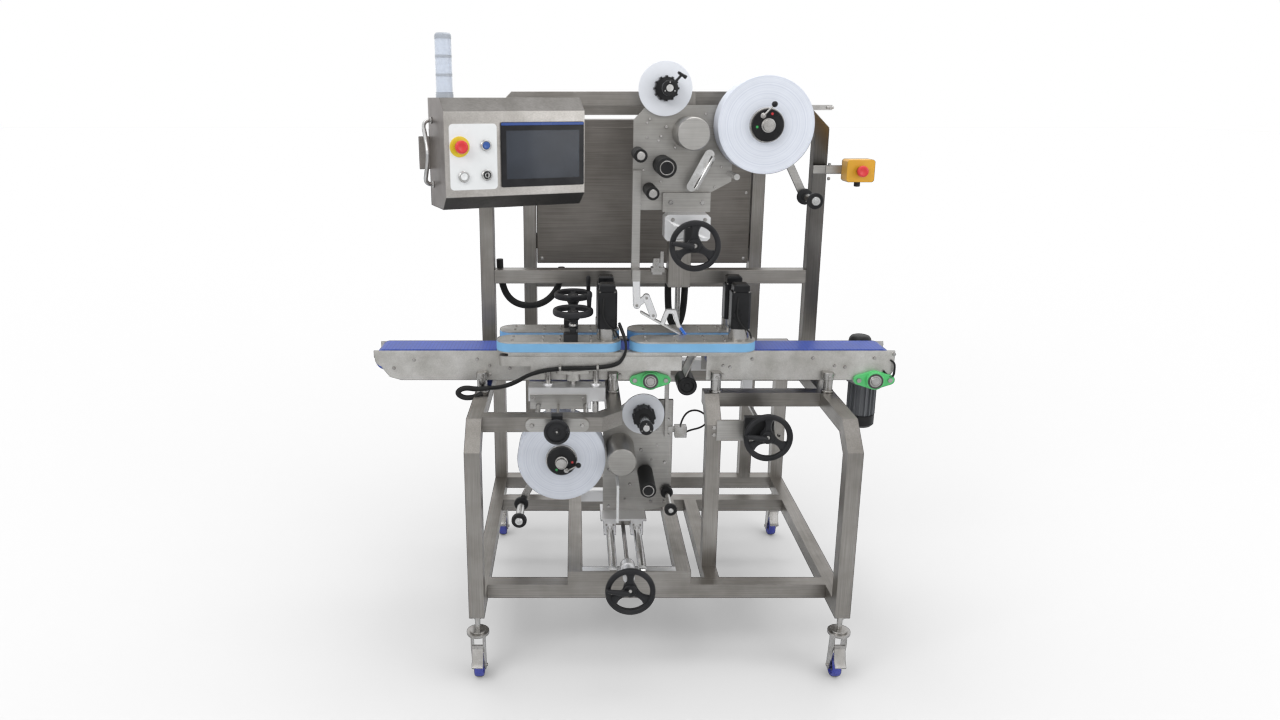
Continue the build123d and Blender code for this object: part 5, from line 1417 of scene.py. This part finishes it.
def graded_light(nodes, links, strength):
    """Background that lights the surfaces: dim from below, bright from above."""
    fill = nodes.new("ShaderNodeBackground")
    fill.inputs["Strength"].default_value = strength
    coords = nodes.new("ShaderNodeTexCoord")
    split = nodes.new("ShaderNodeSeparateXYZ")
    height = nodes.new("ShaderNodeMapRange")
    height.inputs["From Min"].default_value = -1.0
    height.inputs["From Max"].default_value = 1.0
    links.new(coords.outputs["Generated"], split.inputs[0])
    links.new(split.outputs["Z"], height.inputs["Value"])
    room = nodes.new("ShaderNodeValToRGB")
    tones = ((0.0, 0.30), (0.45, 0.42), (0.56, 0.66), (0.8, 0.75), (1.0, 1.0))
    while len(room.color_ramp.elements) < len(tones):
        room.color_ramp.elements.new(0.5)
    for stop, (position, tone) in zip(room.color_ramp.elements, tones):
        stop.position = position
        stop.color = (tone * 0.97, tone * 0.985, tone, 1.0)
    links.new(height.outputs["Result"], room.inputs["Fac"])
    links.new(room.outputs["Color"], fill.inputs["Color"])
    return fill.outputs[0]


def stage_world(scene, cfg):
    """White for the camera, reflections and glass; a graded light for everything else."""
    world = bpy.data.worlds.new("Studio")
    world.use_nodes = True
    scene.world = world
    nodes, links = world.node_tree.nodes, world.node_tree.links
    nodes.clear()
    out = nodes.new("ShaderNodeOutputWorld")
    seen = nodes.new("ShaderNodeBackground")
    seen.inputs["Color"].default_value = (1, 1, 1, 1)
    seen.inputs["Strength"].default_value = 1.0
    rays = nodes.new("ShaderNodeLightPath")
    seen_by = rays.outputs["Is Camera Ray"]
    for ray in ("Is Glossy Ray", "Is Transmission Ray"):
        either = nodes.new("ShaderNodeMath")
        either.operation = "MAXIMUM"
        links.new(seen_by, either.inputs[0])
        links.new(rays.outputs[ray], either.inputs[1])
        seen_by = either.outputs[0]
    mix = nodes.new("ShaderNodeMixShader")
    links.new(seen_by, mix.inputs["Fac"])
    links.new(graded_light(nodes, links, cfg.world_light), mix.inputs[1])
    links.new(seen.outputs[0], mix.inputs[2])
    links.new(mix.outputs[0], out.inputs["Surface"])


def stage_floor(scene):
    """Wide floor that shows only the machine's shadow."""
    mesh = bpy.data.meshes.new("Floor")
    mesh.from_pydata([(-40, -20, 0), (40, -20, 0), (40, 60, 0), (-40, 60, 0)], [], [(0, 1, 2, 3)])
    floor = bpy.data.objects.new("Floor", mesh)
    scene.collection.objects.link(floor)
    floor.is_shadow_catcher = True
    return floor


def stage_lamps(scene, cfg):
    """Three soft lamps, each turned towards the middle of the machine."""
    rows = (
        ("Key", (-1.9, -2.6, 3.2), cfg.key_power, 1.6),
        ("Fill", (2.6, -2.2, 2.2), cfg.fill_power, 2.0),
        ("Top", (0.2, 0.4, 3.8), cfg.top_power, 2.4),
    )
    middle = Vector((0, 0, 1.0))
    lamps = []
    for name, place, power, size in rows:
        data = bpy.data.lights.new(name, "AREA")
        data.energy = power
        data.size = size
        lamp = bpy.data.objects.new(name, data)
        lamp.location = place
        lamp.rotation_euler = (middle - Vector(place)).to_track_quat("-Z", "Y").to_euler()
        scene.collection.objects.link(lamp)
        lamps.append(lamp)
    return lamps


def build_stage():
    """Camera, world, floor and lamps."""
    cfg = settings().stage
    scene = bpy.context.scene
    scene.view_settings.view_transform = "Standard"
    stage_camera(scene, cfg)
    stage_world(scene, cfg)
    stage_floor(scene)
    stage_lamps(scene, cfg)


# Settings, operators and the panel


def colour_setting(name, description, default):
    """A colour that the user can change."""
    return FloatVectorProperty(
        name=name, description=description, subtype="COLOR", size=3, min=0, max=1, default=default)


def length_setting(name, description, default):
    """A length in metres that the user can change."""
    return FloatProperty(name=name, description=description, subtype="DISTANCE", min=0.0, default=default)


class LabellerFinish(PropertyGroup):
    """Colours of the main finishes"""
    steel: colour_setting("Tube steel", "Colour of the brushed frame tubes", (0.30, 0.285, 0.268))
    sheet: colour_setting("Sheet steel", "Colour of the plates", (0.43, 0.42, 0.405))
    cabinet: colour_setting("Cabinet steel", "Colour of the rear cabinet", (0.21, 0.195, 0.18))
    aluminium: colour_setting("Aluminium", "Colour of the milled blocks", (0.58, 0.58, 0.57))
    bearing_green: colour_setting("Bearing green", "Paint of the flange bearings", (0.09, 0.62, 0.18))
    belt_blue: colour_setting("Belt blue", "Colour of the conveyor belts", (0.022, 0.07, 0.42))
    grip_blue: colour_setting("Grip blue", "Colour of the side grip belts", (0.20, 0.46, 0.74))


class LabellerSizes(PropertyGroup):
    """Sizes that only the dressing has"""
    tube_edge: length_setting("Tube edge", "Rounding of the frame tubes' edges", 0.0022)
    handle_radius: length_setting("Handle radius", "Radius of the control box's bow handle", 0.006)
    strand_radius: length_setting("Strand radius", "Radius of one strand of the motor cable", 0.0039)
    lead_radius: length_setting("Lead radius", "Radius of the leads on the grip motors", 0.003)
    sleeve_radius: length_setting("Sleeve radius", "Radius of the sleeve round the cable's loop", 0.0085)
    conduit_radius: length_setting("Conduit radius", "Radius of the two rear conduits", 0.012)


class LabellerStage(PropertyGroup):
    """Camera and lights"""
    tilt: FloatProperty(
        name="Camera tilt", description="Downward tilt of the camera", subtype="ANGLE",
        default=math.radians(14.295))
    lens: FloatProperty(name="Lens", description="Focal length of the camera", unit="CAMERA", default=25.29)
    world_light: FloatProperty(name="World light", description="Strength of the graded light", default=1.0)
    key_power: FloatProperty(
        name="Key power", description="Power of the key lamp", unit="POWER", default=30.0)
    fill_power: FloatProperty(
        name="Fill power", description="Power of the fill lamp", unit="POWER", default=17.0)
    top_power: FloatProperty(
        name="Top power", description="Power of the top lamp", unit="POWER", default=30.0)


class LabellerSettings(PropertyGroup):
    """All settings of the machine"""
    finish: PointerProperty(type=LabellerFinish, name="Finish", description="Colours of the main finishes")
    sizes: PointerProperty(type=LabellerSizes, name="Sizes", description="Sizes of edges and cables")
    stage: PointerProperty(type=LabellerStage, name="Stage", description="Camera and lights")


def settings():
    """The machine's settings, which are kept on the scene."""
    return bpy.context.scene.labeller


class LABELLER_OT_bench(Operator):
    """Dress the bench frame and its bolts"""
    bl_idname = "labeller.bench"
    bl_label = "Bench frame"
    bl_options = {"REGISTER", "UNDO"}

    def execute(self, context):
        build_bench()
        return {"FINISHED"}


class LABELLER_OT_upper_frame(Operator):
    """Dress the upper frame"""
    bl_idname = "labeller.upper_frame"
    bl_label = "Upper frame"
    bl_options = {"REGISTER", "UNDO"}

    def execute(self, context):
        build_upper_frame()
        return {"FINISHED"}


class LABELLER_OT_cabinet(Operator):
    """Dress the rear cabinet"""
    bl_idname = "labeller.cabinet"
    bl_label = "Cabinet"
    bl_options = {"REGISTER", "UNDO"}

    def execute(self, context):
        build_cabinet()
        return {"FINISHED"}


class LABELLER_OT_casters(Operator):
    """Dress the casters"""
    bl_idname = "labeller.casters"
    bl_label = "Casters"
    bl_options = {"REGISTER", "UNDO"}

    def execute(self, context):
        build_casters()
        return {"FINISHED"}


class LABELLER_OT_conveyors(Operator):
    """Dress the conveyor beds and belts"""
    bl_idname = "labeller.conveyors"
    bl_label = "Conveyors"
    bl_options = {"REGISTER", "UNDO"}

    def execute(self, context):
        build_conveyors()
        return {"FINISHED"}


class LABELLER_OT_drives(Operator):
    """Dress the bearings, drive rollers and gear motor"""
    bl_idname = "labeller.drives"
    bl_label = "Drives"
    bl_options = {"REGISTER", "UNDO"}

    def execute(self, context):
        build_drives()
        return {"FINISHED"}


class LABELLER_OT_guides(Operator):
    """Dress the guide rods and adjusters"""
    bl_idname = "labeller.guides"
    bl_label = "Guides"
    bl_options = {"REGISTER", "UNDO"}

    def execute(self, context):
        build_guides()
        return {"FINISHED"}


class LABELLER_OT_carriages(Operator):
    """Dress the grip carriages"""
    bl_idname = "labeller.carriages"
    bl_label = "Carriages"
    bl_options = {"REGISTER", "UNDO"}

    def execute(self, context):
        build_carriages()
        return {"FINISHED"}


class LABELLER_OT_grips(Operator):
    """Dress the side grips and their motors"""
    bl_idname = "labeller.grips"
    bl_label = "Grips"
    bl_options = {"REGISTER", "UNDO"}

    def execute(self, context):
        build_grips()
        return {"FINISHED"}


class LABELLER_OT_handwheels(Operator):
    """Build the handwheels"""
    bl_idname = "labeller.handwheels"
    bl_label = "Handwheels"
    bl_options = {"REGISTER", "UNDO"}

    def execute(self, context):
        build_handwheels()
        return {"FINISHED"}


class LABELLER_OT_lower_head(Operator):
    """Dress the lower head plate"""
    bl_idname = "labeller.lower_head"
    bl_label = "Lower head"
    bl_options = {"REGISTER", "UNDO"}

    def execute(self, context):
        build_lower_head()
        return {"FINISHED"}


class LABELLER_OT_lower_reels(Operator):
    """Build the reels and rollers of the lower head"""
    bl_idname = "labeller.lower_reels"
    bl_label = "Lower reels"
    bl_options = {"REGISTER", "UNDO"}

    def execute(self, context):
        build_lower_reels()
        return {"FINISHED"}


class LABELLER_OT_upper_head(Operator):
    """Dress the upper head plate"""
    bl_idname = "labeller.upper_head"
    bl_label = "Upper head"
    bl_options = {"REGISTER", "UNDO"}

    def execute(self, context):
        build_upper_head()
        return {"FINISHED"}


class LABELLER_OT_upper_reels(Operator):
    """Build the reels and rollers of the upper head"""
    bl_idname = "labeller.upper_reels"
    bl_label = "Upper reels"
    bl_options = {"REGISTER", "UNDO"}

    def execute(self, context):
        build_upper_reels()
        return {"FINISHED"}


class LABELLER_OT_control_box(Operator):
    """Dress the control box and its handle"""
    bl_idname = "labeller.control_box"
    bl_label = "Control box"
    bl_options = {"REGISTER", "UNDO"}

    def execute(self, context):
        build_control_box()
        return {"FINISHED"}


class LABELLER_OT_panel(Operator):
    """Build the screen, buttons and stop"""
    bl_idname = "labeller.panel"
    bl_label = "Panel"
    bl_options = {"REGISTER", "UNDO"}

    def execute(self, context):
        build_panel()
        return {"FINISHED"}


class LABELLER_OT_stack_light(Operator):
    """Build the stack light"""
    bl_idname = "labeller.stack_light"
    bl_label = "Stack light"
    bl_options = {"REGISTER", "UNDO"}

    def execute(self, context):
        build_stack_light()
        return {"FINISHED"}


class LABELLER_OT_side_stop(Operator):
    """Dress the second emergency stop"""
    bl_idname = "labeller.side_stop"
    bl_label = "Side stop"
    bl_options = {"REGISTER", "UNDO"}

    def execute(self, context):
        build_side_stop()
        return {"FINISHED"}


class LABELLER_OT_cables(Operator):
    """Build the cables and clips"""
    bl_idname = "labeller.cables"
    bl_label = "Cables"
    bl_options = {"REGISTER", "UNDO"}

    def execute(self, context):
        build_cables()
        return {"FINISHED"}


class LABELLER_OT_stage(Operator):
    """Build the camera, lights and floor"""
    bl_idname = "labeller.stage"
    bl_label = "Stage"
    bl_options = {"REGISTER", "UNDO"}

    def execute(self, context):
        build_stage()
        return {"FINISHED"}


# In the order in which they run
OPERATORS = (
    LABELLER_OT_bench,
    LABELLER_OT_upper_frame,
    LABELLER_OT_cabinet,
    LABELLER_OT_casters,
    LABELLER_OT_conveyors,
    LABELLER_OT_drives,
    LABELLER_OT_guides,
    LABELLER_OT_carriages,
    LABELLER_OT_grips,
    LABELLER_OT_handwheels,
    LABELLER_OT_lower_head,
    LABELLER_OT_lower_reels,
    LABELLER_OT_upper_head,
    LABELLER_OT_upper_reels,
    LABELLER_OT_control_box,
    LABELLER_OT_panel,
    LABELLER_OT_stack_light,
    LABELLER_OT_side_stop,
    LABELLER_OT_cables,
    LABELLER_OT_stage,
)


class LABELLER_PT_build(Panel):
    """Lists the build operators in the order in which they run"""
    bl_label = "Labelling machine"
    bl_idname = "LABELLER_PT_build"
    bl_space_type = "VIEW_3D"
    bl_region_type = "UI"
    bl_category = "Labeller"

    def draw(self, context):
        for operator in OPERATORS:
            self.layout.operator(operator.bl_idname)


CLASSES = (LabellerFinish, LabellerSizes, LabellerStage, LabellerSettings, *OPERATORS, LABELLER_PT_build)


def register():
    """Registers the classes and puts the settings on the scene."""
    for item in CLASSES:
        bpy.utils.register_class(item)
    bpy.types.Scene.labeller = PointerProperty(type=LabellerSettings)


def unregister():
    """Takes the settings and the classes away again."""
    del bpy.types.Scene.labeller
    for item in reversed(CLASSES):
        bpy.utils.unregister_class(item)


def main():
    """Registers the add-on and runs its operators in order."""
    register()
    for operator in OPERATORS:
        name = operator.bl_idname.partition(".")[2]
        getattr(bpy.ops.labeller, name)()


if __name__ == "__main__":
    main()
